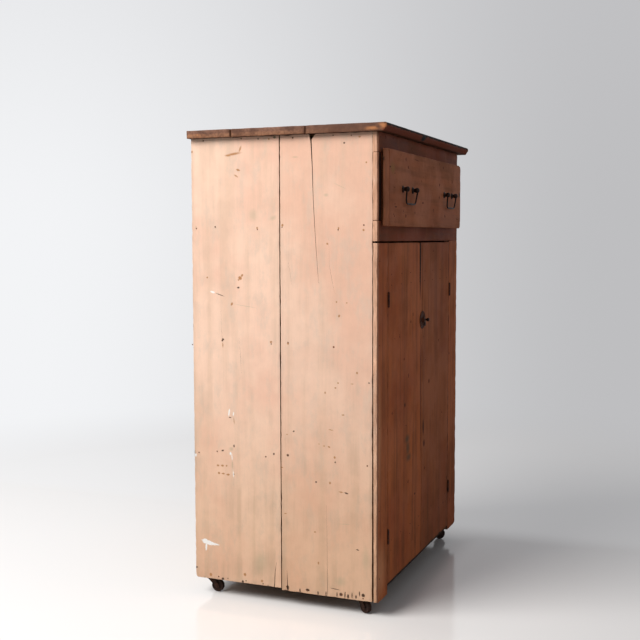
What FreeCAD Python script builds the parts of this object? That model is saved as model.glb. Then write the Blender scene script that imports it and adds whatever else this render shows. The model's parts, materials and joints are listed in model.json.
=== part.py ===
import FreeCAD, Part

# A baker's cabinet on casters: a nailed pine case with a plank top, one overlay drawer
# with two bail pulls, and a pair of ledged doors on butt hinges, shut by a turn latch.
#
# Cabinet coordinates, in millimetres: X from the outer face of the left side to the
# right, Y from the front edges of the side boards to the back, Z up from the nominal
# bottom of the side boards. write_parts() moves every solid by one vector, so that the
# exported origin is on the floor, in the middle of the bounding box.

import math
import os

from FreeCAD import Vector

# ---------------------------------------------------------------- overall sizes
BODY_W = 818.0          # over the outer faces of the side boards
BODY_D = 544.0          # side boards, front edge to back edge
BODY_H = 1270.0         # side boards, nominal bottom to the top boards

# ---------------------------------------------------------------- case boards
SIDE_T = 19.0           # side boards
SIDE_FRONT_W = 268.0    # front board of each side
SIDE_GAP = 4.0          # shrinkage gap between the two boards of a side
SIDE_FRONT_DROP = 3.0   # the front board hangs this far below the nominal bottom
SIDE_REAR_LIFT = 3.0    # the rear board stops this far above it
SIDE_CORNER_R = 9.0     # worn lower rear corner
NOTCH_Y = 162.0         # broken notch at the top of the left front board
NOTCH_W = 20.0
NOTCH_H = 18.0
BACK_T = 12.0           # back boards, between the sides
BACK_COUNT = 3
BACK_GAP = 1.5
BACK_LIFT = 4.0         # back boards above the nominal bottom
BOTTOM_T = 19.0         # bottom boards, nailed between the sides
BOTTOM_LIFT = 0.5
BOTTOM_FRONT_W = 268.0
BOTTOM_GAP = 1.5

# ---------------------------------------------------------------- top
TOP_T = 22.0
TOP_OVER_L = 15.0       # overhangs beyond the sides, the face frame and the back
TOP_OVER_R = 45.0
TOP_OVER_F = 26.0
TOP_OVER_B = 8.0
TOP_FRONT_W = 230.0     # front board of the top
TOP_MIDDLE_W = 224.0
TOP_GAP = 1.0
TOP_LIP_H = 9.0         # upright part of the front edge; below it the edge is undercut
TOP_UNDERCUT = 9.0
TOP_ARRIS_R = 4.0       # worn upper arris of the front edge
TOP_SPLIT_X = 357.0     # split in the front edge, from the left side's outer face
TOP_SPLIT_W = 4.0
TOP_SPLIT_DEEP = 14.0
TOP_CORNER = 4.0        # worn corners at the board ends
BATTEN_W = 25.0         # battens in the upper corners, which carry the top
BATTEN_H = 26.0

# ---------------------------------------------------------------- face frame
FRAME_T = 18.0
TOP_RAIL_H = 54.0
DRAWER_OPENING_H = 181.0
MIDDLE_RAIL_H = 54.5
DRAWER_STILE_L_W = 52.0
DRAWER_STILE_R_W = 62.0
DOOR_STILE_L_W = 78.0
DOOR_STILE_R_W = 98.0
STILE_TOP_GAP = 4.5     # open joint over the left stile and both doors
STILE_L_DROP = 3.0      # left stile below the nominal bottom
STILE_R_LIFT = 10.0     # right stile above it
STILE_CORNER_R = 12.0   # worn lower outer corner of the right stile
STILE_OPEN_W = 12.0     # the left stile has sprung off the side board at its foot
STILE_OPEN_D = 5.0

# ---------------------------------------------------------------- shelves
SHELF_T = 19.0
SHELF_SETBACK = 30.0    # shelf front edges behind the side boards' front edges
SHELF_LEVELS = {"lower": 398.0, "upper": 713.0}
CLEAT_H = 26.0
CLEAT_W = 19.0
SHELF_CLEAR = 1.0       # shelf ends off the side boards

# ---------------------------------------------------------------- doors
DOOR_T = 18.0
DOOR_BOTTOM = 26.0
DOOR_EDGE_GAP = 2.0     # door to stile, and door to door
MEETING_SHIFT = 11.0    # the doors meet this far right of the opening's middle
LEDGE_T = 16.0          # ledges across the backs of the doors
LEDGE_H = 62.0
LEDGE_INSET = 20.0
LEDGE_FROM_END = 70.0
DOOR_ARRIS_R = 1.5

# ---------------------------------------------------------------- butt hinges
HINGE_H = 40.0
HINGE_FROM_TOP = 155.0  # hinge centres from the ends of the doors
HINGE_FROM_BOTTOM = 134.0
HINGE_KNUCKLES = 2      # the lower one on the stile, the upper one on the door
KNUCKLE_R = 3.2
KNUCKLE_GAP = 0.3       # between knuckles, and knuckle to wood
KNUCKLE_PROUD = 2.2     # pin centre in front of the face frame
PIN_R = 1.7
PIN_CLEAR = 0.05
PIN_END = 1.5           # pin ends beyond the knuckles
LEAF_T = 1.5
LEAF_W = 15.0
LEAF_SUNK = 1.0         # leaf let into the wood

# ---------------------------------------------------------------- turn latch
LATCH_FROM_TOP = 234.0  # below the doors' upper ends
LATCH_R = 27.0          # round plate, cut in two by the doors' meeting line
LATCH_PLATE_T = 2.5
LATCH_EDGE = 1.4        # each half stops this far from the meeting line
KNOB_FROM_EDGE = 11.0   # knob axis from the meeting line
BOSS_R = 7.5            # boss round the knob's stem
BOSS_H = 2.0
STEM_R = 2.5
STEM_SEAT = 3.5         # depth of the stem's bore in boss and plate
STEM_CLEAR = 0.05
TONGUE_L = 19.0         # knob axis to the tip of the tongue
TONGUE_W = 7.0
TONGUE_T = 2.5
TONGUE_GAP = 0.3        # tongue to boss
KEEPER_CLEAR = 0.6      # tongue to the keeper's lip, and twice that to its wall
KEEPER_T = 3.0          # lip and wall of the keeper
KEEPER_H = 12.0
KNOB_NECK = 2.0         # tongue to the wide part of the grip
KNOB_R = 5.6
KNOB_L = 10.0
KNOB_GRIP_W = 4.5       # flats on the grip, from the axis

# ---------------------------------------------------------------- drawer
DRAWER_FRONT_T = 18.5
DRAWER_FRONT_INSET_L = 15.0
DRAWER_FRONT_INSET_R = 48.0
DRAWER_LAP_TOP = 10.0   # the front laps over the top and middle rails
DRAWER_LAP_BOTTOM = 14.0
DRAWER_CORNER_R = 16.0  # worn right corners of the front
DRAWER_STAND_OFF = 5.0  # front to face frame as found, not pushed right home
DRAWER_BOX_GAP = 4.0    # drawer box to the opening, each side
DRAWER_BOX_LIFT = 3.0   # drawer sides above the middle rail
DRAWER_SIDE_T = 13.0
DRAWER_SIDE_H = 150.0
DRAWER_BOX_D = 498.0
DRAWER_BOTTOM_T = 8.0
DRAWER_BOTTOM_UP = 10.0
GROOVE_DEEP = 5.0
GROOVE_CLEAR = 0.3
DRAWER_SCOOP = 20.0     # the drawer back is lower than the sides
DRAWER_TRAVEL = 380.0
RUNNER_H = 38.0
RUNNER_TREAD = 19.0     # ledge under each drawer side, beyond its outer face
GUIDE_H = 24.0
GUIDE_CLEAR = 1.5

# ---------------------------------------------------------------- bail pulls
PULL_INSET_L = 166.0    # pull centres from the ends of the drawer front
PULL_INSET_R = 159.0
PULL_SPAN = 92.0        # post to post
ROSETTE_R = 9.5         # rosette and post, to their flats
ROSETTE_T = 2.5
POST_R = 3.6
POST_L = 14.0           # bail axis in front of the drawer front
EYE_R = 6.5             # eight-sided eye on each post, to its flats
EYE_W = 9.0
BAIL_R = 2.4            # round ends in the eyes
BAIL_BAR = 4.6          # square bar between them
BAIL_CLEAR = 0.1
BAIL_TAIL = 4.0         # bail end beyond its eye
BAIL_SHOULDER = 12.0    # first bend inside the eye
BAIL_DROP = 40.0
BAIL_FLARE = 5.0        # the bail widens towards its grip
BAIL_BEND_TOP_R = 7.0
BAIL_BEND_LOW_R = 13.0

# ---------------------------------------------------------------- casters
CASTER_OFF_SIDE = 1.0   # mounting plate off the side board
CASTER_FRONT_Y = 45.0   # swivel axes from the front edges of the side boards
CASTER_REAR_Y = 34.0    # from the back edges of the side boards
CASTER_TRAIL = 20.0     # wheel centre from the swivel axis
WHEEL_R = 18.5
WHEEL_W = 12.0
WHEEL_TOP_GAP = 1.5     # wheel under the crown
AXLE_R = 3.0
AXLE_CLEAR = 0.05
AXLE_END = 1.2          # axle ends beyond the cheeks
CHEEK_T = 2.8
CHEEK_CLEAR = 0.8       # wheel to cheek
CROWN_R = 12.5
CROWN_T = 4.2
CROWN_GAP = 0.3         # plate to crown, and crown to rivet head
HORN_R = 6.0            # end of the horn round the axle
PLATE_L = 44.0
PLATE_W = 32.0
PLATE_T = 2.5
PLATE_CORNER = 4.0      # corners cut off
KINGPIN_R = 3.6
KINGPIN_CLEAR = 0.1
KINGPIN_HEAD_R = 5.2
KINGPIN_HEAD_T = 1.4
# Trailing direction of each caster as found: degrees from straight forward, to the right
CASTER_TURN = {"front_left": -28.0, "front_right": 35.0, "rear_left": 0.0, "rear_right": 14.0}

# ---------------------------------------------------------------- worked-out places
PLATE_BOTTOM_Z = BOTTOM_LIFT - PLATE_T
CROWN_TOP_Z = PLATE_BOTTOM_Z - CROWN_GAP
CROWN_BOTTOM_Z = CROWN_TOP_Z - CROWN_T
WHEEL_Z = CROWN_BOTTOM_Z - WHEEL_TOP_GAP - WHEEL_R
FLOOR_GAP = WHEEL_R - WHEEL_Z                       # nominal bottom above the floor
FRONT_Y = -FRAME_T                                  # front face of frame and doors
MIDDLE_RAIL_TOP = BODY_H - TOP_RAIL_H - DRAWER_OPENING_H
MIDDLE_RAIL_BOTTOM = MIDDLE_RAIL_TOP - MIDDLE_RAIL_H
DOOR_TOP = MIDDLE_RAIL_BOTTOM - STILE_TOP_GAP
OPENING_L = DOOR_STILE_L_W
OPENING_R = BODY_W - DOOR_STILE_R_W
MEETING_X = (OPENING_L + OPENING_R) / 2 + MEETING_SHIFT
HINGE_Y = FRONT_Y - KNUCKLE_PROUD
HINGE_X = {"left": OPENING_L + DOOR_EDGE_GAP / 2, "right": OPENING_R - DOOR_EDGE_GAP / 2}
HINGE_Z = (DOOR_BOTTOM + HINGE_FROM_BOTTOM, DOOR_TOP - HINGE_FROM_TOP)
LATCH_HEIGHT = DOOR_TOP - LATCH_FROM_TOP
PLATE_FACE_Y = FRONT_Y - LATCH_PLATE_T
KNOB_X = MEETING_X + KNOB_FROM_EDGE
BOSS_FACE_Y = PLATE_FACE_Y - BOSS_H
TONGUE_Y = (BOSS_FACE_Y - TONGUE_GAP - TONGUE_T, BOSS_FACE_Y - TONGUE_GAP)
DRAWER_BACK_Y = FRONT_Y - DRAWER_STAND_OFF          # back face of the drawer front
DRAWER_FACE_Y = DRAWER_BACK_Y - DRAWER_FRONT_T
DRAWER_X0 = DRAWER_STILE_L_W + DRAWER_BOX_GAP       # outer faces of the drawer box
DRAWER_X1 = BODY_W - DRAWER_STILE_R_W - DRAWER_BOX_GAP
DRAWER_Z0 = MIDDLE_RAIL_TOP + DRAWER_BOX_LIFT
DRAWER_FLOOR_Z = DRAWER_Z0 + DRAWER_BOTTOM_UP + DRAWER_BOTTOM_T
FRONT_Z0 = MIDDLE_RAIL_TOP - DRAWER_LAP_BOTTOM      # drawer front
FRONT_Z1 = BODY_H - TOP_RAIL_H + DRAWER_LAP_TOP
BAIL_Y = DRAWER_FACE_Y - POST_L
BAIL_Z = (FRONT_Z0 + FRONT_Z1) / 2
PULL_X = {
    "left": DRAWER_FRONT_INSET_L + PULL_INSET_L,
    "right": BODY_W - DRAWER_FRONT_INSET_R - PULL_INSET_R,
}
INNER_BACK_Y = BODY_D - BACK_T                      # front faces of the back boards
CASTER_X = SIDE_T + CASTER_OFF_SIDE + PLATE_W / 2   # swivel axes from the outer faces
CASTER_AT = {
    "front_left": (CASTER_X, CASTER_FRONT_Y),
    "front_right": (BODY_W - CASTER_X, CASTER_FRONT_Y),
    "rear_left": (CASTER_X, BODY_D - CASTER_REAR_Y),
    "rear_right": (BODY_W - CASTER_X, BODY_D - CASTER_REAR_Y),
}
FRONT_MOST = BAIL_Y - EYE_R
ORIGIN = Vector(
    (BODY_W + TOP_OVER_R - TOP_OVER_L) / 2,
    (FRONT_MOST + BODY_D + TOP_OVER_B) / 2,
    -FLOOR_GAP,
)

X_AXIS = Vector(1, 0, 0)
Y_AXIS = Vector(0, 1, 0)
Z_AXIS = Vector(0, 0, 1)
THROUGH = 1.0           # cutters run past the faces they cut by this much


# ---------------------------------------------------------------- building blocks
def board(x, y, z):
    """A rectangular board from three (low, high) pairs."""
    return Part.makeBox(x[1] - x[0], y[1] - y[0], z[1] - z[0], Vector(x[0], y[0], z[0]))


def rod(radius, start, end):
    """A round bar between two points."""
    span = end - start
    return Part.makeCylinder(radius, span.Length, start, span)


def prism(points, travel):
    """A closed outline of points, pushed along a vector."""
    outline = Part.makePolygon(list(points) + [points[0]])
    return Part.Face(outline).extrude(travel)


def turned(profile, centre, axis_turn=None):
    """A profile of (radius, height) points turned about Z, placed with its base at centre."""
    points = [Vector(r, 0, h) for r, h in profile]
    shape = Part.Face(Part.makePolygon(points + [points[0]])).revolve(Vector(), Z_AXIS, 360)
    if axis_turn:
        shape.rotate(Vector(), axis_turn[0], axis_turn[1])
    shape.translate(centre)
    return shape


def edges_along(shape, axis, keep):
    """Straight edges along an axis whose middle point passes a test."""
    found = []
    for edge in shape.Edges:
        ends = [v.Point for v in edge.Vertexes]
        if len(ends) == 2 and abs((ends[1] - ends[0]).normalize().dot(axis)) > 0.999:
            if keep((ends[0] + ends[1]) * 0.5):
                found.append(edge)
    return found


def mirrored(shape):
    """The same piece for the other side of the cabinet."""
    return shape.mirror(Vector(BODY_W / 2, 0, 0), X_AXIS)


def near(a, b):
    """True where two lengths are the same."""
    return abs(a - b) < 0.01


# ---------------------------------------------------------------- case
def side_front_board():
    """Front board of the left side."""
    return board((0, SIDE_T), (0, SIDE_FRONT_W), (-SIDE_FRONT_DROP, BODY_H))


def side_rear_board():
    """Rear board of the left side, with its worn lower corner."""
    shape = board((0, SIDE_T), (SIDE_FRONT_W + SIDE_GAP, BODY_D), (SIDE_REAR_LIFT, BODY_H))
    corner = edges_along(
        shape, X_AXIS, lambda p: near(p.y, BODY_D) and near(p.z, SIDE_REAR_LIFT)
    )
    return shape.makeFillet(SIDE_CORNER_R, corner)


def notch_cutter():
    """The three-cornered piece broken out of the top of the left front board."""
    low, high = NOTCH_Y, NOTCH_Y + NOTCH_W
    points = [
        Vector(-THROUGH, low, BODY_H + THROUGH),
        Vector(-THROUGH, high, BODY_H + THROUGH),
        Vector(-THROUGH, high - NOTCH_W / 5, BODY_H - NOTCH_H),
    ]
    return prism(points, Vector(SIDE_T + 2 * THROUGH, 0, 0))


def sides():
    """Both sides, two boards each."""
    front = side_front_board()
    rear = side_rear_board()
    return {
        "left_side_front_board": front.cut(notch_cutter()),
        "left_side_rear_board": rear,
        "right_side_front_board": mirrored(front),
        "right_side_rear_board": mirrored(rear),
    }


def back_boards():
    """Upright boards between the sides, flush with their back edges."""
    inner = BODY_W - 2 * SIDE_T
    width = (inner - (BACK_COUNT - 1) * BACK_GAP) / BACK_COUNT
    made = {}
    for number, name in enumerate(("left", "middle", "right")[:BACK_COUNT]):
        x = SIDE_T + number * (width + BACK_GAP)
        made[f"back_board_{name}"] = board(
            (x, x + width), (INNER_BACK_Y, BODY_D), (BACK_LIFT, BODY_H)
        )
    return made


def bottom_boards():
    """Two boards between the sides, which also carry the casters."""
    x = (SIDE_T, BODY_W - SIDE_T)
    z = (BOTTOM_LIFT, BOTTOM_LIFT + BOTTOM_T)
    return {
        "bottom_board_front": board(x, (0, BOTTOM_FRONT_W), z),
        "bottom_board_back": board(x, (BOTTOM_FRONT_W + BOTTOM_GAP, INNER_BACK_Y), z),
    }


def top_front_board():
    """Front board of the top: a lip over an undercut edge, with a split in it."""
    x0, length = -TOP_OVER_L, TOP_OVER_L + BODY_W + TOP_OVER_R
    face = FRONT_Y - TOP_OVER_F
    upper = BODY_H + TOP_T
    points = [
        Vector(x0, face, upper),
        Vector(x0, face, upper - TOP_LIP_H),
        Vector(x0, face + TOP_UNDERCUT, BODY_H),
        Vector(x0, face + TOP_FRONT_W, BODY_H),
        Vector(x0, face + TOP_FRONT_W, upper),
    ]
    shape = prism(points, Vector(length, 0, 0))
    arris = edges_along(shape, X_AXIS, lambda p: near(p.y, face) and near(p.z, upper))
    shape = shape.makeFillet(TOP_ARRIS_R, arris)
    left = TOP_SPLIT_X - TOP_SPLIT_W / 2
    split = [
        Vector(left, face - THROUGH, BODY_H - THROUGH),
        Vector(left + TOP_SPLIT_W, face - THROUGH, BODY_H - THROUGH),
        Vector(left, face + TOP_SPLIT_DEEP, BODY_H - THROUGH),
    ]
    return shape.cut(prism(split, Vector(0, 0, TOP_T + 2 * THROUGH)))


def top_boards():
    """Three boards from side to side, with worn corners where their ends meet."""
    x = (-TOP_OVER_L, BODY_W + TOP_OVER_R)
    z = (BODY_H, BODY_H + TOP_T)
    joint = FRONT_Y - TOP_OVER_F + TOP_FRONT_W
    middle = (joint + TOP_GAP, joint + TOP_GAP + TOP_MIDDLE_W)
    back = (middle[1] + TOP_GAP, BODY_D + TOP_OVER_B)

    def worn(y):
        shape = board(x, y, z)
        return shape.makeChamfer(TOP_CORNER, edges_along(shape, Z_AXIS, lambda p: True))

    return {
        "top_board_front": top_front_board(),
        "top_board_middle": worn(middle),
        "top_board_back": worn(back),
    }


def top_battens():
    """Battens in the upper corners, between the side boards and the top."""
    batten = board(
        (SIDE_T, SIDE_T + BATTEN_W), (0, INNER_BACK_Y), (BODY_H - BATTEN_H, BODY_H)
    )
    return {"top_battens": Part.makeCompound([batten, mirrored(batten)])}


def shelves():
    """Two shelves, each on a cleat at either end."""
    made = {}
    cleats = []
    y = (SHELF_SETBACK, INNER_BACK_Y)
    x = (SIDE_T + SHELF_CLEAR, BODY_W - SIDE_T - SHELF_CLEAR)
    for name, level in SHELF_LEVELS.items():
        made[f"shelf_{name}"] = board(x, y, (level, level + SHELF_T))
        cleat = board((SIDE_T, SIDE_T + CLEAT_W), y, (level - CLEAT_H, level))
        cleats += [cleat, mirrored(cleat)]
    made["shelf_cleats"] = Part.makeCompound(cleats)
    return made


# ---------------------------------------------------------------- butt hinges
def knuckle_span(z_mid, number):
    """Low and high end of one knuckle of a hinge."""
    pitch = HINGE_H / HINGE_KNUCKLES
    low = z_mid - HINGE_H / 2 + number * pitch
    return low + KNUCKLE_GAP / 2, low + pitch - KNUCKLE_GAP / 2


def knuckle_bar(x, z, radius):
    """A round bar on a hinge axis between two heights."""
    return rod(radius, Vector(x, HINGE_Y, z[0]), Vector(x, HINGE_Y, z[1]))


def hinge_leaf(side, z_mid, on_door):
    """One leaf with its knuckles: the even ones on the stile, the odd ones on the door."""
    x = HINGE_X[side]
    inward = 1 if side == "left" else -1
    away = inward if on_door else -inward
    wood = x + away * DOOR_EDGE_GAP / 2
    faces = sorted((wood + away * LEAF_SUNK, wood + away * (LEAF_SUNK - LEAF_T)))
    z = (z_mid - HINGE_H / 2, z_mid + HINGE_H / 2)
    leaf = board(faces, (HINGE_Y, FRONT_Y + LEAF_W), z)
    mine = 1 if on_door else 0
    reach = KNUCKLE_R + KNUCKLE_GAP
    for number in range(HINGE_KNUCKLES):
        span = knuckle_span(z_mid, number)
        if number % 2 == mine:
            leaf = leaf.fuse(knuckle_bar(x, span, KNUCKLE_R))
        else:
            clear = (span[0] - KNUCKLE_GAP, span[1] + KNUCKLE_GAP)
            notch = board((x - reach, x + reach), (HINGE_Y - THROUGH, HINGE_Y + reach), clear)
            leaf = leaf.cut(notch)
    bore = knuckle_bar(x, (z[0] - THROUGH, z[1] + THROUGH), PIN_R + PIN_CLEAR)
    return leaf.cut(bore).removeSplitter()


def hinge_pin(side, z_mid):
    """A pin through all the knuckles."""
    reach = HINGE_H / 2 + PIN_END
    return knuckle_bar(HINGE_X[side], (z_mid - reach, z_mid + reach), PIN_R)


def hinge_room(side, z_mid):
    """What a hinge takes out of the wood: both leaves' beds and the knuckles' hollow."""
    x = HINGE_X[side]
    half = DOOR_EDGE_GAP / 2 + LEAF_SUNK
    z = (z_mid - HINGE_H / 2, z_mid + HINGE_H / 2)
    bed = board((x - half, x + half), (HINGE_Y, FRONT_Y + LEAF_W), z)
    hollow = (z[0] - PIN_END - KNUCKLE_GAP, z[1] + PIN_END + KNUCKLE_GAP)
    return bed.fuse(knuckle_bar(x, hollow, KNUCKLE_R + KNUCKLE_GAP))


def without_hinges(shape, side):
    """A stile or a door with the room for its hinges cut out."""
    for z_mid in HINGE_Z:
        shape = shape.cut(hinge_room(side, z_mid))
    return shape


def fixed_hinge_parts():
    """The leaves on the stiles and the pins, four of each."""
    places = [(side, z_mid) for side in HINGE_X for z_mid in HINGE_Z]
    return {
        "stile_hinge_leaves": Part.makeCompound([hinge_leaf(s, z, False) for s, z in places]),
        "hinge_pins": Part.makeCompound([hinge_pin(s, z) for s, z in places]),
    }


# ---------------------------------------------------------------- face frame
def sprung_gap():
    """The wedge of air behind the left stile's outer edge, widest at the foot."""
    points = [
        Vector(-THROUGH, 0, -STILE_L_DROP - THROUGH),
        Vector(-THROUGH, -STILE_OPEN_D, -STILE_L_DROP - THROUGH),
        Vector(-THROUGH, -1.0, DOOR_TOP + THROUGH),
        Vector(-THROUGH, 0, DOOR_TOP + THROUGH),
    ]
    return prism(points, Vector(STILE_OPEN_W + THROUGH, 0, 0))


def face_frame():
    """Rails and stiles nailed on the front edges of the sides."""
    y = (FRONT_Y, 0)
    drawer_z = (MIDDLE_RAIL_TOP, BODY_H - TOP_RAIL_H)
    left = board((0, OPENING_L), y, (-STILE_L_DROP, DOOR_TOP))
    right = board((OPENING_R, BODY_W), y, (STILE_R_LIFT, MIDDLE_RAIL_BOTTOM))
    corner = edges_along(
        right, Y_AXIS, lambda p: near(p.x, BODY_W) and near(p.z, STILE_R_LIFT)
    )
    right = right.makeFillet(STILE_CORNER_R, corner)
    return {
        "top_rail": board((0, BODY_W), y, (BODY_H - TOP_RAIL_H, BODY_H)),
        "middle_rail": board((0, BODY_W), y, (MIDDLE_RAIL_BOTTOM, MIDDLE_RAIL_TOP)),
        "drawer_stile_left": board((0, DRAWER_STILE_L_W), y, drawer_z),
        "drawer_stile_right": board((BODY_W - DRAWER_STILE_R_W, BODY_W), y, drawer_z),
        "door_stile_left": without_hinges(left.cut(sprung_gap()), "left"),
        "door_stile_right": without_hinges(right, "right"),
    }


# ---------------------------------------------------------------- doors
def door_span(side):
    """Left and right edge of a door."""
    if side == "left":
        return OPENING_L + DOOR_EDGE_GAP, MEETING_X - DOOR_EDGE_GAP / 2
    return MEETING_X + DOOR_EDGE_GAP / 2, OPENING_R - DOOR_EDGE_GAP


def door(side):
    """A plank door with two ledges and its hinge leaves."""
    x = door_span(side)
    z = (DOOR_BOTTOM, DOOR_TOP)
    panel = board(x, (FRONT_Y, FRONT_Y + DOOR_T), z)
    meeting = x[1] if side == "left" else x[0]
    arris = edges_along(panel, Z_AXIS, lambda p: near(p.x, meeting) and near(p.y, FRONT_Y))
    panel = panel.makeFillet(DOOR_ARRIS_R, arris)
    ledge_x = (x[0] + LEDGE_INSET, x[1] - LEDGE_INSET)
    ledge_y = (FRONT_Y + DOOR_T, FRONT_Y + DOOR_T + LEDGE_T)
    low, high = z[0] + LEDGE_FROM_END, z[1] - LEDGE_FROM_END
    ledges = [
        board(ledge_x, ledge_y, (low, low + LEDGE_H)),
        board(ledge_x, ledge_y, (high - LEDGE_H, high)),
    ]
    leaves = [hinge_leaf(side, z_mid, True) for z_mid in HINGE_Z]
    return {
        f"{side}_door_panel": without_hinges(panel, side),
        f"{side}_door_ledges": Part.makeCompound(ledges),
        f"{side}_door_hinge_leaves": Part.makeCompound(leaves),
    }


# ---------------------------------------------------------------- turn latch
def latch_half_plate(side):
    """Half of the round latch plate, on one side of the meeting line."""
    disc = rod(
        LATCH_R,
        Vector(MEETING_X, FRONT_Y, LATCH_HEIGHT),
        Vector(MEETING_X, PLATE_FACE_Y, LATCH_HEIGHT),
    )
    away = 1 if side == "right" else -1
    x = sorted((MEETING_X + away * LATCH_EDGE, MEETING_X + away * (LATCH_R + THROUGH)))
    z = (LATCH_HEIGHT - LATCH_R - THROUGH, LATCH_HEIGHT + LATCH_R + THROUGH)
    return disc.common(board(x, (PLATE_FACE_Y - THROUGH, FRONT_Y + THROUGH), z))


def latch_keeper():
    """Keeper on the left door: half plate, and a hooked lip that the tongue turns under."""
    lip_y = TONGUE_Y[0] - KEEPER_CLEAR
    z = (LATCH_HEIGHT - KEEPER_H / 2, LATCH_HEIGHT + KEEPER_H / 2)
    inner = KNOB_X - TONGUE_L - 2 * KEEPER_CLEAR
    wall = board((inner - KEEPER_T, inner), (lip_y - KEEPER_T, PLATE_FACE_Y), z)
    lip = board((inner - KEEPER_T, MEETING_X - LATCH_EDGE), (lip_y - KEEPER_T, lip_y), z)
    hook = wall.fuse(lip).removeSplitter()
    bend = edges_along(
        hook, Z_AXIS, lambda p: near(p.x, inner - KEEPER_T) and near(p.y, lip_y - KEEPER_T)
    )
    hook = hook.makeFillet(KEEPER_T * 0.6, bend)
    return latch_half_plate("left").fuse(hook).removeSplitter()


def latch_plate():
    """Half plate on the right door, with a boss bored for the knob's stem."""
    boss = latch_bar(BOSS_R, PLATE_FACE_Y, BOSS_FACE_Y)
    bore = latch_bar(STEM_R + STEM_CLEAR, BOSS_FACE_Y - THROUGH, BOSS_FACE_Y + STEM_SEAT)
    return latch_half_plate("right").fuse(boss).cut(bore).removeSplitter()


def latch_bar(radius, y0, y1):
    """A round bar on the knob's axis between two Y values."""
    return rod(radius, Vector(KNOB_X, y0, LATCH_HEIGHT), Vector(KNOB_X, y1, LATCH_HEIGHT))


def latch_tongue():
    """Flat tongue on the knob's stem, hanging clear of the keeper: the latch is open."""
    half = TONGUE_W / 2
    z = (LATCH_HEIGHT - TONGUE_L, LATCH_HEIGHT + half)
    bar = board((KNOB_X - half, KNOB_X + half), TONGUE_Y, z)
    bar = bar.makeChamfer(half / 2, edges_along(bar, Y_AXIS, lambda p: True))
    return bar.cut(latch_bar(STEM_R, TONGUE_Y[0] - THROUGH, TONGUE_Y[1] + THROUGH))


def latch_knob():
    """Stem and a round grip with two flats, turned by thumb and finger."""
    neck = TONGUE_Y[0] - KNOB_NECK
    tip = neck - KNOB_L
    stem = latch_bar(STEM_R, BOSS_FACE_Y + STEM_SEAT - TONGUE_GAP, neck)
    grip = latch_bar(KNOB_R, neck, tip)
    reach = KNOB_R + THROUGH
    for side in (-1, 1):
        z = sorted((LATCH_HEIGHT + side * KNOB_GRIP_W, LATCH_HEIGHT + side * reach))
        flat = board((KNOB_X - reach, KNOB_X + reach), (tip - THROUGH, neck + THROUGH), z)
        grip = grip.cut(flat)
    return stem.fuse(grip).removeSplitter()


# ---------------------------------------------------------------- drawer
def drawer_front():
    """Overlay front with worn right-hand corners."""
    x = (DRAWER_FRONT_INSET_L, BODY_W - DRAWER_FRONT_INSET_R)
    front = board(x, (DRAWER_FACE_Y, DRAWER_BACK_Y), (FRONT_Z0, FRONT_Z1))
    front = front.makeFillet(
        DRAWER_CORNER_R, edges_along(front, Y_AXIS, lambda p: near(p.x, x[1]))
    )
    return front.cut(bottom_groove())


def bottom_groove():
    """The groove that takes the drawer bottom, in the front and both sides."""
    inner = (DRAWER_X0 + DRAWER_SIDE_T, DRAWER_X1 - DRAWER_SIDE_T)
    low = DRAWER_FLOOR_Z - DRAWER_BOTTOM_T
    return board(
        (inner[0] - GROOVE_DEEP - GROOVE_CLEAR, inner[1] + GROOVE_DEEP + GROOVE_CLEAR),
        (DRAWER_BACK_Y - GROOVE_DEEP - GROOVE_CLEAR, DRAWER_BACK_Y + DRAWER_BOX_D + THROUGH),
        (low - GROOVE_CLEAR, DRAWER_FLOOR_Z + GROOVE_CLEAR),
    )


def drawer_box():
    """Sides, back and bottom behind the overlay front."""
    y = (DRAWER_BACK_Y, DRAWER_BACK_Y + DRAWER_BOX_D)
    z = (DRAWER_Z0, DRAWER_Z0 + DRAWER_SIDE_H)
    inner = (DRAWER_X0 + DRAWER_SIDE_T, DRAWER_X1 - DRAWER_SIDE_T)
    bottom = board(
        (inner[0] - GROOVE_DEEP, inner[1] + GROOVE_DEEP),
        (y[0] - GROOVE_DEEP, y[1]),
        (DRAWER_FLOOR_Z - DRAWER_BOTTOM_T, DRAWER_FLOOR_Z),
    )
    back_z = (DRAWER_FLOOR_Z, z[1] - DRAWER_SCOOP)
    return {
        "drawer_front": drawer_front(),
        "drawer_side_left": board((DRAWER_X0, inner[0]), y, z).cut(bottom_groove()),
        "drawer_side_right": board((inner[1], DRAWER_X1), y, z).cut(bottom_groove()),
        "drawer_back": board(inner, (y[1] - DRAWER_SIDE_T, y[1]), back_z),
        "drawer_bottom": bottom,
    }


def drawer_runner(side):
    """Runner with its guide strip above, nailed inside a side board."""
    inner_face = DRAWER_X0 if side == "left" else BODY_W - DRAWER_X1
    tread = (SIDE_T, inner_face + RUNNER_TREAD)
    y = (0, INNER_BACK_Y)
    runner = board(tread, y, (DRAWER_Z0 - RUNNER_H, DRAWER_Z0))
    guide = board((SIDE_T, inner_face - GUIDE_CLEAR), y, (DRAWER_Z0, DRAWER_Z0 + GUIDE_H))
    shape = runner.fuse(guide).removeSplitter()
    return shape if side == "left" else mirrored(shape)


# ---------------------------------------------------------------- bail pulls
def eight_sided(radius, start, end):
    """A bar with eight flats at the given radius, between two points along X or Y."""
    ahead = (end - start).normalize()
    across = Z_AXIS * (radius / math.cos(math.radians(22.5)))
    corners = []
    for number in range(8):
        turn = FreeCAD.Rotation(ahead, 22.5 + 45 * number)
        corners.append(start + turn.multVec(across))
    return prism(corners, end - start)


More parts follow.
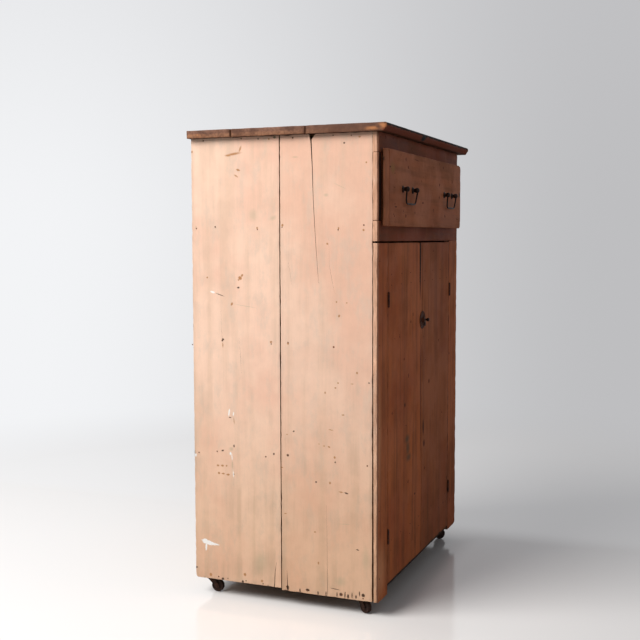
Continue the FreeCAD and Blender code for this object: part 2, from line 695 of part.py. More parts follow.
def pull_post(x):
    """A forged post with a rosette and an eye, eight-sided, bored across for the bail."""
    foot = Vector(x, DRAWER_FACE_Y, BAIL_Z)
    rosette = eight_sided(ROSETTE_R, foot, foot - Y_AXIS * ROSETTE_T)
    neck = eight_sided(POST_R, foot, foot - Y_AXIS * (POST_L - EYE_R / 2))
    left = Vector(x - EYE_W / 2, BAIL_Y, BAIL_Z)
    right = left + X_AXIS * EYE_W
    eye = eight_sided(EYE_R, left, right)
    bore = rod(BAIL_R + BAIL_CLEAR, left - X_AXIS * THROUGH, right + X_AXIS * THROUGH)
    return rosette.fuse([neck, eye]).cut(bore).removeSplitter()


def bar_section(centre, ahead):
    """A square about a centre, square to a direction in the bail's plane."""
    across = ahead.cross(Y_AXIS).normalize() * (BAIL_BAR / 2)
    depth = Y_AXIS * (BAIL_BAR / 2)
    corners = [centre + across + depth, centre - across + depth, centre - across - depth]
    corners.append(centre + across - depth)
    return Part.Face(Part.makePolygon(corners + [corners[0]]))


def bent_bar(points, radii):
    """A square bar through points: straight runs, joined by bends of the given radii."""
    pieces = []
    start = points[0]
    for before, corner, after, bend in zip(points, points[1:], points[2:], radii):
        back = (before - corner).normalize()
        ahead = (after - corner).normalize()
        half = math.acos(back.dot(ahead)) / 2
        reach = bend / math.tan(half)
        enter = corner + back * reach
        centre = corner + (back + ahead).normalize() * (bend / math.sin(half))
        turn = 180 - 2 * math.degrees(half)
        pieces.append(bar_section(start, back).extrude(enter - start))
        pieces.append(bar_section(enter, back).revolve(centre, ahead.cross(back), turn))
        start = corner + ahead * reach
    pieces.append(bar_section(start, ahead).extrude(points[-1] - start))
    return pieces[0].fuse(pieces[1:]).removeSplitter()


def bail(x):
    """A forged bail that hangs by its round ends, square and bent to a swan neck."""
    end = PULL_SPAN / 2 + EYE_W / 2 + BAIL_TAIL
    neck = PULL_SPAN / 2 - EYE_W / 2 - BAIL_CLEAR
    shoulder = neck - BAIL_SHOULDER
    foot = shoulder + BAIL_FLARE
    half = [(neck, 0), (shoulder, 0), (foot, -BAIL_DROP)]
    offsets = [(-dx, dz) for dx, dz in half] + half[::-1]
    points = [Vector(x + dx, BAIL_Y, BAIL_Z + dz) for dx, dz in offsets]
    radii = [BAIL_BEND_TOP_R, BAIL_BEND_LOW_R, BAIL_BEND_LOW_R, BAIL_BEND_TOP_R]
    shape = bent_bar(points, radii)
    for side, start in ((-1, points[0]), (1, points[-1])):
        shape = shape.fuse(rod(BAIL_R, start, Vector(x + side * end, BAIL_Y, BAIL_Z)))
    return shape.removeSplitter()


def pulls():
    """Posts and bails of both pulls."""
    posts = []
    made = {}
    for side, x in PULL_X.items():
        posts += [pull_post(x + sign * PULL_SPAN / 2) for sign in (-1, 1)]
        made[f"{side}_bail"] = bail(x)
    made["pull_posts"] = Part.makeCompound(posts)
    return made


# ---------------------------------------------------------------- casters
def caster_plate():
    """Fixed plate with a riveted kingpin, about its own swivel axis."""
    plate = board(
        (-PLATE_W / 2, PLATE_W / 2), (-PLATE_L / 2, PLATE_L / 2), (PLATE_BOTTOM_Z, BOTTOM_LIFT)
    )
    plate = plate.makeChamfer(PLATE_CORNER, edges_along(plate, Z_AXIS, lambda p: True))
    head_z = CROWN_BOTTOM_Z - CROWN_GAP
    pin = rod(KINGPIN_R, Vector(0, 0, head_z), Vector(0, 0, PLATE_BOTTOM_Z))
    head = rod(KINGPIN_HEAD_R, Vector(0, 0, head_z - KINGPIN_HEAD_T), Vector(0, 0, head_z))
    return plate.fuse(pin).fuse(head).removeSplitter()


def horn_outline():
    """Side view of the fork: a crown that sweeps down and forward to the axle."""
    axle_y = -CASTER_TRAIL
    corners = [
        Vector(0, axle_y - HORN_R, WHEEL_Z - HORN_R / 2),
        Vector(0, axle_y - HORN_R, WHEEL_Z + HORN_R / 2),
        Vector(0, axle_y + HORN_R * 0.3, CROWN_TOP_Z - CASTER_TRAIL * 0.55),
        Vector(0, -CROWN_R, CROWN_TOP_Z),
        Vector(0, CROWN_R, CROWN_TOP_Z),
        Vector(0, CROWN_R, CROWN_BOTTOM_Z),
        Vector(0, CROWN_R * 0.6, CROWN_BOTTOM_Z - CROWN_T / 2),
        Vector(0, axle_y + HORN_R * 0.8, WHEEL_Z - HORN_R / 2),
        Vector(0, axle_y + HORN_R / 2, WHEEL_Z - HORN_R),
        Vector(0, axle_y - HORN_R / 2, WHEEL_Z - HORN_R),
    ]
    return corners


def caster_fork():
    """Horn fork bent from one strap: a crown bored for the kingpin, and two cheeks."""
    half = WHEEL_W / 2 + CHEEK_CLEAR
    outer = half + CHEEK_T
    reach = CASTER_TRAIL + HORN_R + THROUGH
    shape = prism([p - X_AXIS * outer for p in horn_outline()], X_AXIS * (2 * outer))
    crown_edges = edges_along(
        shape, X_AXIS, lambda p: near(p.y, CROWN_R) and near(p.z, CROWN_TOP_Z)
    )
    shape = shape.makeChamfer(CROWN_T / 2, crown_edges)
    slot = board((-half, half), (-reach, CROWN_R + THROUGH), (-FLOOR_GAP, CROWN_BOTTOM_Z))
    bore = rod(KINGPIN_R + KINGPIN_CLEAR, Vector(0, 0, -FLOOR_GAP), Vector(0, 0, 0))
    axle = Vector(0, -CASTER_TRAIL, WHEEL_Z)
    across = X_AXIS * (outer + THROUGH)
    hole = rod(AXLE_R + AXLE_CLEAR, axle - across, axle + across)
    return shape.cut(slot).cut(bore).cut(hole).removeSplitter()


def caster_axle():
    """Axle, with its ends closed over outside the cheeks."""
    reach = X_AXIS * (WHEEL_W / 2 + CHEEK_CLEAR + CHEEK_T + AXLE_END)
    centre = Vector(0, -CASTER_TRAIL, WHEEL_Z)
    return rod(AXLE_R, centre - reach, centre + reach)


def caster_wheel():
    """Plain wheel, bored for the axle."""
    half = X_AXIS * (WHEEL_W / 2)
    centre = Vector(0, -CASTER_TRAIL, WHEEL_Z)
    wheel = rod(WHEEL_R, centre - half, centre + half)
    return wheel.cut(rod(AXLE_R + AXLE_CLEAR, centre - 2 * half, centre + 2 * half))


def casters():
    """Four casters, each turned on its swivel axis as it was found."""
    made = {}
    plates = []
    for name, (x, y) in CASTER_AT.items():
        at = Vector(x, y, 0)
        plate = caster_plate()
        plate.translate(at)
        plates.append(plate)
        pieces = {"fork": caster_fork(), "axle": caster_axle(), "wheel": caster_wheel()}
        for piece, shape in pieces.items():
            shape.rotate(Vector(), Z_AXIS, CASTER_TURN[name])
            shape.translate(at)
            made[f"{name}_caster_{piece}"] = shape
    made["caster_plates"] = Part.makeCompound(plates)
    return made


# ---------------------------------------------------------------- the whole cabinet
def cabinet():
    """Every node of the cabinet, by name."""
    nodes = {}
    nodes.update(sides())
    nodes.update(back_boards())
    nodes.update(bottom_boards())
    nodes.update(top_boards())
    nodes.update(top_battens())
    nodes.update(shelves())
    nodes.update(face_frame())
    nodes.update(fixed_hinge_parts())
    nodes.update(door("left"))
    nodes.update(door("right"))
    nodes["latch_keeper"] = latch_keeper()
    nodes["latch_plate"] = latch_plate()
    nodes["latch_tongue"] = latch_tongue()
    nodes["latch_knob"] = latch_knob()
    nodes.update(drawer_box())
    nodes["drawer_runner_left"] = drawer_runner("left")
    nodes["drawer_runner_right"] = drawer_runner("right")
    nodes.update(pulls())
    nodes.update(casters())
    return nodes


def write_parts(nodes):
    """Write one STEP file per node, moved to the exported origin."""
    os.makedirs("parts", exist_ok=True)
    for name, shape in nodes.items():
        placed = shape.copy()
        placed.translate(-ORIGIN)
        placed.exportStep(f"parts/{name}.step")


NODES = cabinet()
write_parts(NODES)
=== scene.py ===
"""A painted baker's cabinet on casters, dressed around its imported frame.

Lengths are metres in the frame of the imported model: X to the right of someone who faces
the doors, Y to the back, Z up from the floor.  Marks of use that can be seen in the
picture of the cabinet are placed through the same camera that looks at it here.
"""

from __future__ import annotations

import json
import logging
import math
import random
from collections.abc import Callable, Iterable, Sequence
from dataclasses import dataclass, field
from enum import Enum

import bmesh
import bpy
from mathutils import Matrix, Vector, noise


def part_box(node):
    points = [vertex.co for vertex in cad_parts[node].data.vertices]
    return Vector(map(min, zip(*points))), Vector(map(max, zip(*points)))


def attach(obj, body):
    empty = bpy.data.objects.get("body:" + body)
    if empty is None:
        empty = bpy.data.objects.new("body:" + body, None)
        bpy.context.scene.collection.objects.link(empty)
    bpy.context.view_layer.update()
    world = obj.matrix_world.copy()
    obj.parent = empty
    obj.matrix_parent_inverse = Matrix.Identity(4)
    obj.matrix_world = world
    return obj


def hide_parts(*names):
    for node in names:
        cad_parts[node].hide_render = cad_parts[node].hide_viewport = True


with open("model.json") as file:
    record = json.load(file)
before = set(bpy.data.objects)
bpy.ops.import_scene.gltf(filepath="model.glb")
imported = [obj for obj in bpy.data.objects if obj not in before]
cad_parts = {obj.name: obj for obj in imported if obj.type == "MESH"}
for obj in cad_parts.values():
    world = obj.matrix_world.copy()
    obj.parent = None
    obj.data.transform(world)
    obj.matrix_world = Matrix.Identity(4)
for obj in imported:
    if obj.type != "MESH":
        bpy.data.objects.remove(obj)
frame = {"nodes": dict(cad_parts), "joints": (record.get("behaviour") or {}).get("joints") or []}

LOG = logging.getLogger("cabinet")
NODES: dict[str, bpy.types.Object] = frame["nodes"]
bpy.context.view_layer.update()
MM = 0.001
WELD, CUT = 1e-5, 1e-6  # points nearer than this to each other, or to a cutting plane, are one
SHARP = 0.7  # radians between the faces of an edge that is softened
FRONTWARD = Vector((0, -1, 0))
Socket = bpy.types.NodeSocket
Colour = tuple[float, float, float, float]


def hue(red: float, green: float, blue: float) -> Colour:
    """A colour in the shader's own terms, from its three screen values of 0 to 255."""

    def linear(value: float) -> float:
        share = value / 255
        return share / 12.92 if share <= 0.04045 else ((share + 0.055) / 1.055) ** 2.4

    return (linear(red), linear(green), linear(blue), 1.0)


# ------------------------------------------------------------------ camera
@dataclass(frozen=True)
class Lookout:
    """The camera: where it stands, where it looks, and what a pixel of it meets.

    Attributes:
        place: Where it stands.
        yaw: Turn from the Y axis towards the X axis.
        pitch: How far it looks down.
        roll: How far it leans about its line of sight.
        focal: Focal length in pixels.
        picture: Side of the square picture in pixels.
        sensor: Width of the sensor in millimetres.
    """

    place: tuple[float, float, float] = (-3.0415, -1.1504, 1.0330)
    yaw: float = math.radians(68.02)
    pitch: float = math.radians(4.48)
    roll: float = math.radians(-0.14)
    focal: float = 1037.36
    picture: float = 640.0
    sensor: float = 36.0

    def axes(self) -> tuple[Vector, Vector, Vector]:
        """Right, up and ahead, as unit vectors."""
        flat = math.cos(self.pitch)
        ahead = Vector((math.sin(self.yaw) * flat, math.cos(self.yaw) * flat, -math.sin(self.pitch)))
        level = Vector((math.cos(self.yaw), -math.sin(self.yaw), 0.0))
        upright = level.cross(ahead)
        right = level * math.cos(self.roll) + upright * math.sin(self.roll)
        up = upright * math.cos(self.roll) - level * math.sin(self.roll)
        return right, up, ahead

    def meet(self, px: float, py: float, axis: int, level: float) -> Vector:
        """Where the line of sight through a pixel meets a flat plane.

        Args:
            px: Pixel from the left edge of the picture.
            py: Pixel from its top edge.
            axis: 0, 1 or 2 for a plane of constant X, Y or Z.
            level: That constant.

        Returns:
            The point, in metres.
        """
        right, up, ahead = self.axes()
        middle = self.picture / 2
        ray = ahead + right * ((px - middle) / self.focal) - up * ((py - middle) / self.focal)
        start = Vector(self.place)
        return start + ray * ((level - start[axis]) / ray[axis])

    def build(self) -> None:
        """Makes the camera and hands it to the scene."""
        right, up, ahead = self.axes()
        data = bpy.data.cameras.new("camera")
        data.sensor_width = self.sensor
        data.lens = self.focal * self.sensor / self.picture
        camera = bpy.data.objects.new("camera", data)
        turn = Matrix((right, up, -ahead)).transposed().to_4x4()
        camera.matrix_world = Matrix.Translation(self.place) @ turn
        bpy.context.scene.collection.objects.link(camera)
        bpy.context.scene.camera = camera


LOOKOUT = Lookout()
LEFT_SIDE_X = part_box("left_side_front_board")[0].x
FRAME_FACE_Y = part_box("top_rail")[0].y
DRAWER_FACE_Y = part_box("drawer_front")[0].y


# ------------------------------------------------------------------ shader trees
class Tree:
    """A node tree that is written as nested calls."""

    def __init__(self, tree: bpy.types.NodeTree) -> None:
        """Starts from an empty tree."""
        self.tree = tree
        tree.nodes.clear()

    def feed(self, socket: Socket, value: object) -> None:
        """Links a socket to another, or sets its value."""
        if isinstance(value, Socket):
            self.tree.links.new(value, socket)
        elif value is not None:
            socket.default_value = value

    def node(self, kind: str, settings: dict | None = None, **values: object) -> bpy.types.Node:
        """Adds a shader node.

        Args:
            kind: The node's type, without its prefix.
            settings: Its properties, set before its sockets.
            values: A value or a link for each input, by the input's name.

        Returns:
            The node.
        """
        made = self.tree.nodes.new("ShaderNode" + kind)
        for name, value in (settings or {}).items():
            setattr(made, name, value)
        for name, value in values.items():
            self.feed(made.inputs[name.replace("_", " ")], value)
        return made

    def math(self, operation: str, *values: object, clamp: bool = False) -> Socket:
        """One sum of numbers."""
        made = self.node("Math", {"operation": operation, "use_clamp": clamp})
        for socket, value in zip(made.inputs, values):
            self.feed(socket, value)
        return made.outputs[0]

    def times(self, first: object, second: object) -> Socket:
        """Two numbers multiplied."""
        return self.math("MULTIPLY", first, second)

    def plus(self, first: object, second: object) -> Socket:
        """Two numbers added."""
        return self.math("ADD", first, second)

    def less(self, first: object, second: object) -> Socket:
        """The first number less the second."""
        return self.math("SUBTRACT", first, second)

    def parts(self, vector: object) -> Sequence[Socket]:
        """The X, Y and Z of a vector, by name."""
        return self.node("SeparateXYZ", Vector=vector).outputs

    def vector(self, operation: str, *values: object) -> Socket:
        """One sum of vectors; its result is the first output that is in use."""
        made = self.node("VectorMath", {"operation": operation})
        for socket, value in zip(made.inputs, values):
            self.feed(socket, value)
        return next(socket for socket in made.outputs if socket.enabled)

    def noise(self, vector: Socket, scale: float, detail: float = 3.0, rough: float = 0.55) -> Socket:
        """Noise about one half."""
        made = self.node("TexNoise", Vector=vector, Scale=scale, Detail=detail, Roughness=rough)
        return made.outputs["Fac"]

    def band(self, value: object, low: object, high: object) -> Socket:
        """0 below low, 1 above high, smooth between; falling where high is the lower."""
        made = self.node("MapRange", {"interpolation_type": "SMOOTHSTEP"}, Value=value, From_Min=low, From_Max=high)
        return made.outputs["Result"]

    def mix(self, share: object, first: object, second: object, kind: str = "MIX") -> Socket:
        """A mix of two colours."""
        made = self.node("Mix", {"data_type": "RGBA", "blend_type": kind, "clamp_factor": True})
        for index, value in ((0, share), (6, first), (7, second)):
            self.feed(made.inputs[index], value)
        return made.outputs[2]

    def over(self, colour: object, layer: object, mask: object, share: object) -> Socket:
        """A colour with a layer over it where a mask says so, at a share of its strength."""
        return self.mix(self.times(mask, share), colour, layer)

    def between(self, share: object, first: object, second: object) -> Socket:
        """A mix of two numbers."""
        made = self.node("Mix", {"data_type": "FLOAT"})
        for index, value in ((0, share), (2, first), (3, second)):
            self.feed(made.inputs[index], value)
        return made.outputs[0]

    def most(self, masks: Sequence[Socket]) -> Socket:
        """The strongest of several masks."""
        strongest = masks[0]
        for mask in masks[1:]:
            strongest = self.math("MAXIMUM", strongest, mask)
        return strongest

    def place(self) -> Socket:
        """Where the surface is, in the object's own space."""
        return self.node("TexCoord").outputs["Object"]

    def stored(self, name: str) -> Socket:
        """A number stored on the mesh."""
        return self.node("Attribute", {"attribute_name": name}).outputs["Fac"]

    def use(self, group: bpy.types.NodeTree, **values: object) -> Sequence[Socket]:
        """Places a node group and gives its outputs."""
        return self.node("Group", {"node_tree": group}, **values).outputs


FLOAT, VECTOR = "NodeSocketFloat", "NodeSocketVector"


def shared_effect(
    name: str, takes: dict[str, str], gives: Sequence[str], body: Callable[[Tree, dict], Sequence[Socket]]
) -> bpy.types.NodeTree:
    """Builds a node group.

    Args:
        name: The group's name.
        takes: Its inputs, each name with its socket type.
        gives: Its outputs, all numbers.
        body: Makes the nodes from the tree and the inputs, and returns the outputs in order.

    Returns:
        The group.
    """
    group = bpy.data.node_groups.new(name, "ShaderNodeTree")
    for label, kind in takes.items():
        group.interface.new_socket(label, in_out="INPUT", socket_type=kind)
    for label in gives:
        group.interface.new_socket(label, in_out="OUTPUT", socket_type=FLOAT)
    tree = Tree(group)
    start = group.nodes.new("NodeGroupInput")
    end = group.nodes.new("NodeGroupOutput")
    for socket, value in zip(end.inputs, body(tree, {s.name: s for s in start.outputs})):
        tree.feed(socket, value)
    return group


def wood_figure(tree: Tree, given: dict) -> Sequence[Socket]:
    """Long streaks, fine fibre and growth rings that run along a board."""
    shifted = tree.vector("ADD", given["Vector"], given["Shift"])
    run = tree.vector("MULTIPLY", shifted, given["Run"])
    streak = tree.noise(run, 28.0, 4.0, 0.6)
    fibre = tree.noise(run, 420.0, 3.0, 0.65)
    rings = tree.math("SINE", tree.times(tree.noise(run, 7.0, 1.5, 0.5), 110.0))
    ring = tree.band(tree.plus(rings, tree.times(streak, 2.4)), 0.2, 2.4)
    return streak, fibre, ring


def edge_wear(tree: Tree, given: dict) -> Sequence[Socket]:
    """Where an arris is rubbed or knocked through, from the distance stored on the mesh."""
    coarse = tree.noise(given["Vector"], 38.0, 4.0, 0.65)
    fine = tree.noise(given["Vector"], 190.0, 2.0)
    rag = tree.plus(tree.times(coarse, 0.75), tree.times(fine, 0.25))
    reach = tree.times(given["Edge"], tree.plus(rag, given["Amount"]))
    return (tree.band(reach, 0.86, 0.98),)


def flakes(tree: Tree, given: dict) -> Sequence[Socket]:
    """Small scattered chips; a larger Share leaves more of them."""
    cells = tree.node("TexVoronoi", {"feature": "F1"}, Vector=given["Vector"], Scale=given["Scale"])
    ragged = tree.plus(cells.outputs["Distance"], tree.noise(given["Vector"], 300.0, 3.0))
    chosen = tree.node("SeparateColor", Color=cells.outputs["Color"]).outputs[0]
    size = tree.less(tree.times(tree.math("LESS_THAN", chosen, given["Share"]), 0.44), 0.3)
    return (tree.band(tree.less(ragged, size), 0.56, 0.5),)


def blotch(tree: Tree, given: dict) -> Sequence[Socket]:
    """Broad soft patches between 0 and 1."""
    broad = tree.noise(given["Vector"], given["Scale"], 4.0, 0.6)
    return (tree.band(broad, 0.38, 0.66),)


def placed_mark(tree: Tree, given: dict) -> Sequence[Socket]:
    """One mark of an oval outline, at its own place, size and turn."""
    local = tree.node(
        "Mapping", {"vector_type": "TEXTURE"}, Vector=given["Vector"], Location=given["Centre"],
        Rotation=given["Turn"], Scale=given["Size"],
    )
    return (tree.band(tree.vector("LENGTH", local.outputs[0]), 1.12, given["Core"]),)


FIGURE = shared_effect(
    "wood_figure", {"Vector": VECTOR, "Run": VECTOR, "Shift": VECTOR}, ("Streak", "Fibre", "Ring"), wood_figure
)
WEAR = shared_effect("edge_wear", {"Vector": VECTOR, "Edge": FLOAT, "Amount": FLOAT}, ("Mask",), edge_wear)
FLAKES = shared_effect("flakes", {"Vector": VECTOR, "Scale": FLOAT, "Share": FLOAT}, ("Mask",), flakes)
BLOTCH = shared_effect("blotch", {"Vector": VECTOR, "Scale": FLOAT}, ("Mask",), blotch)
MARK = shared_effect(
    "placed_mark",
    {"Vector": VECTOR, "Centre": VECTOR, "Turn": VECTOR, "Size": VECTOR, "Core": FLOAT},
    ("Mask",),
    placed_mark,
)


# ------------------------------------------------------------------ marks of use
class Kind(Enum):
    """What a mark shows."""

    BARE = hue(176, 124, 80)
    DARK = hue(58, 36, 26)
    PALE = hue(246, 244, 240)
    GREY = hue(176, 162, 132)
    GRIME = hue(92, 82, 62)
    RUBBED = hue(220, 148, 104)
    # Near-black painted shade, laid where a gap between parts lies in shadow.
    GAP = hue(20, 12, 10)


@dataclass(frozen=True)
class Mark:
    """A mark read from the picture: its middle, half sizes and turn, all on the picture.

    Attributes:
        kind: What shows.
        px: Middle, from the left.
        py: Middle, from the top.
        wide: Half width in pixels.
        high: Half height in pixels.
        turn: Degrees, clockwise in the picture.
        core: Share of the outline that is fully covered.
    """

    kind: Kind
    px: float
    py: float
    wide: float
    high: float
    turn: float = 0.0
    core: float = 0.55


def seen(kind: Kind, rows: Iterable[Sequence[float]]) -> tuple[Mark, ...]:
    """The marks of one kind, from rows of their other values."""
    return tuple(Mark(kind, *row) for row in rows)


MARK_DEPTH = 0.03  # half size of a mark, square to its face
MARK_JITTER = 0.0042  # how ragged the outline of a mark is
STRONG = 0.95  # how fully a mark covers the paint, but for the kinds below
STRENGTHS = {Kind.GREY: 0.4, Kind.GRIME: 0.75, Kind.RUBBED: 0.85}
SIDE_MARKS = (
    *seen(Kind.BARE, (
        (233.5, 154, 9.5, 1.6, -8, 0.2), (240, 149, 1.2, 4.5, 20, 0.1), (228, 155.5, 4, 1.4, 0, 0.2),
        (238, 170, 2.2, 1.2, 20), (236, 176, 3, 1, 30, 0.2), (240, 278, 2.2, 2.1, 30), (242, 275.5, 1.1, 1.8, 30),
        (238.6, 280, 1, 0.8), (231.8, 304, 1.2, 2, 30), (207.2, 277.5, 0.9, 1.1), (222.8, 345, 0.5, 3),
        (271, 342, 1.4, 1.2), (288, 343.6, 1.1, 1.2), (333.5, 347, 1, 1), (339, 316, 1.2, 1.6, 30),
        (336.5, 302, 0.8, 1), (346.8, 303, 0.7, 0.9), (282.4, 225.2, 1.2, 1.4), (327.3, 243.8, 1.1, 1.2),
        (338.5, 228.2, 0.9, 1.2), (363.5, 230, 1.2, 1.2), (257, 228, 0.8, 1.4), (366.3, 162.3, 1, 1),
        (359.6, 136.6, 1.4, 1), (268.8, 139, 1, 1), (357, 373, 1, 1.4), (338, 383, 0.9, 0.9),
        (335.4, 388, 1.2, 0.8), (325, 392.7, 0.7, 1.4), (343, 415, 1.6, 0.7), (287, 434.4, 0.7, 0.7),
        (329, 447, 1.4, 0.8, 30), (282, 467.5, 1, 0.8), (334.6, 457.5, 1.2, 1.4), (367, 466, 0.7, 0.8),
        (330, 483, 1, 1.4), (341, 492.2, 3, 0.8, 5, 0.2), (318.4, 563, 0.8, 1.6), (210.9, 574.5, 1.4, 2),
        (245, 574.5, 1.4, 1.8), (262, 581, 1.3, 1.5), (234, 421, 0.6, 4, -6, 0.2), (218, 465.4, 1.4, 1.1),
        (222.4, 465.6, 1.6, 1.1), (226.6, 465.8, 1, 1), (219, 473, 1.4, 1.2, 30), (223.2, 473.6, 1.8, 0.9),
        (228, 474.6, 2, 1.1), (331, 430, 3, 0.5, 10, 0.3), (319, 444, 0.6, 0.6), (324, 446, 0.7, 1),
        (315, 532, 1.2, 0.8), (285.5, 513.5, 1.4, 0.6), (352, 384, 2, 0.5, 0, 0.3), (192.6, 344.5, 0.9, 1.8),
        (191.8, 152, 1.1, 1.4),
    )),
    *seen(Kind.DARK, (
        (238.2, 287.6, 1.5, 1), (220, 294.8, 5.4, 0.5, 18, 0.3), (223, 339.3, 1.3, 1.3), (344.2, 142.8, 1, 1),
        (258, 138.8, 0.8, 1.2), (274.4, 137.2, 1.5, 1.4), (369, 383, 0.8, 1), (293.7, 431.3, 1, 1),
        (222.7, 450.5, 1.6, 0.9, -25), (234, 446, 0.8, 1.6), (273.8, 454, 1.1, 1.2), (287.8, 455.2, 1.4, 1.4),
        (335.2, 462.4, 0.9, 1), (316, 482, 1, 1), (346.4, 493.3, 2.2, 0.9, 12), (357.7, 550, 1.8, 0.6, 12),
        (222.9, 578.7, 1.5, 1.5), (242.8, 581.5, 1.2, 1.4), (196.6, 567, 1.6, 1), (230, 417.4, 1.4, 0.6),
        (194.2, 452, 1.1, 3), (233.7, 474.3, 0.7, 0.9), (335, 589, 6, 0.5, 5, 0.3), (345, 595, 0.7, 4, 4),
        (352, 595.5, 0.6, 3.4), (359.5, 594, 0.7, 3, -6), (337, 594.5, 0.7, 2.6), (326, 594, 0.6, 3),
        (318, 593, 0.8, 2), (300, 590.5, 0.7, 2.4), (268, 587, 0.6, 2.6), (252, 585, 0.8, 2), (232, 582.5, 0.6, 2),
        (205, 578.5, 0.8, 2), (287.8, 587.5, 1.5, 2.6, -8), (307.7, 590, 2.2, 1.6), (341, 594.5, 2, 2),
        (348, 596.5, 1.2, 2.6), (356, 597, 1, 2), (363.2, 595.5, 2, 2, 30), (192.6, 325.6, 1, 2),
    )),
    *seen(Kind.PALE, (
        (212.5, 292, 2.6, 1.2, 10), (229, 412.5, 0.9, 4.2, 8), (233.3, 414, 0.6, 2.4, 6),
        (232, 457, 0.6, 4.5, -4, 0.1), (233.4, 474, 0.6, 5, -6, 0.1), (230.5, 453.5, 1, 1.8), (195.8, 455, 0.9, 2),
        (209, 542.3, 7.6, 1.7, 12, 0.8), (205.2, 541, 2.8, 2.6, 0, 0.75), (209, 542.6, 4.4, 2.3, 14, 0.7),
        (206.4, 546.5, 0.9, 4.2, 5, 0.7), (214.5, 543.8, 5, 0.9, 8, 0.75),
    )),
    *seen(Kind.GREY, (
        (215, 227, 0.8, 1.4), (196, 227, 0.8, 1.6), (247, 137.2, 1.6, 1), (274.4, 137.2, 2.4, 1.8, 0, 0.3),
        (231.2, 449, 2.6, 2.4, 0, 0.3), (232.5, 465, 1, 4), (261, 562, 9, 14, 0, 0.1), (341, 582, 7, 6, 0, 0.1),
        (366, 560, 5, 16, 0, 0.1), (344, 524.2, 7, 0.5, -3, 0.4), (340, 186, 8, 0.4, 25, 0.4),
        (326, 195, 3, 2, 0, 0.2), (253, 215, 6, 8, 0, 0.05), (273, 218, 5, 3, -20, 0.05),
        (245, 306, 14, 0.5, 8, 0.3), (295, 157, 4, 1.2, 0, 0.1),
    )),
)
FRONT_MARKS = (
    *seen(Kind.GRIME, (
        (407.3, 439, 3, 5.5, 0, 0.1), (408.6, 457, 3, 5.5, 0, 0.1), (408, 448, 2.2, 11, 0, 0.02),
    )),
    # Among these, the long thin lines at x 420 to 424, where the doors meet, and at x 449, down the right door's outer
    # edge, are painted shade in those gaps.
    *seen(Kind.DARK, (
        (414.7, 493.5, 0.7, 1), (423.2, 427, 0.7, 9, -3, 0.5), (424, 443, 0.8, 4, 0, 0.4),
        (447.5, 487, 1.2, 6, 0, 0.3), (420.6, 395, 0.35, 85, 0, 0.5), (449.1, 262, 0.5, 22, 0, 0.5),
        (449.2, 400, 0.4, 100, 0, 0.4), (405, 405, 1, 3, 0, 0.1), (429, 381, 0.7, 2.6, 20, 0.3),
    )),
    *seen(Kind.BARE, (
        (381, 593, 2, 5, 0, 0.3),
    )),
    # Painted shade: a near-black line down the upper part of the doors' meeting edge, for the shadow in the gap between
    # them.
    *seen(Kind.GAP, (
        (420.5, 252, 0.75, 48, 0, 0.7),
    )),
)
DRAWER_MARKS = (
    *seen(Kind.BARE, (
        (386.5, 212, 1.8, 18, 0, 0.25), (385.8, 180, 0.9, 18, 0, 0.2), (386, 219, 1, 4, 0, 0.2),
        (393, 168, 3, 8, 10, 0.02),
    )),
    *seen(Kind.DARK, (
        (390.4, 166.6, 0.7, 0.9), (396, 206.8, 1.2, 0.7), (459.4, 195, 0.7, 3, 0, 0.4),
        (417, 160.4, 3.2, 0.5, 4, 0.02), (423, 203, 1, 1, 0, 0.2),
    )),
)


# ------------------------------------------------------------------ finishes
class Run(Enum):
    """Which way the grain of a board runs."""

    ALONG_X = (0.07, 1.0, 1.0)
    ALONG_Y = (1.0, 0.07, 1.0)
    UPRIGHT = (1.0, 1.0, 0.055)


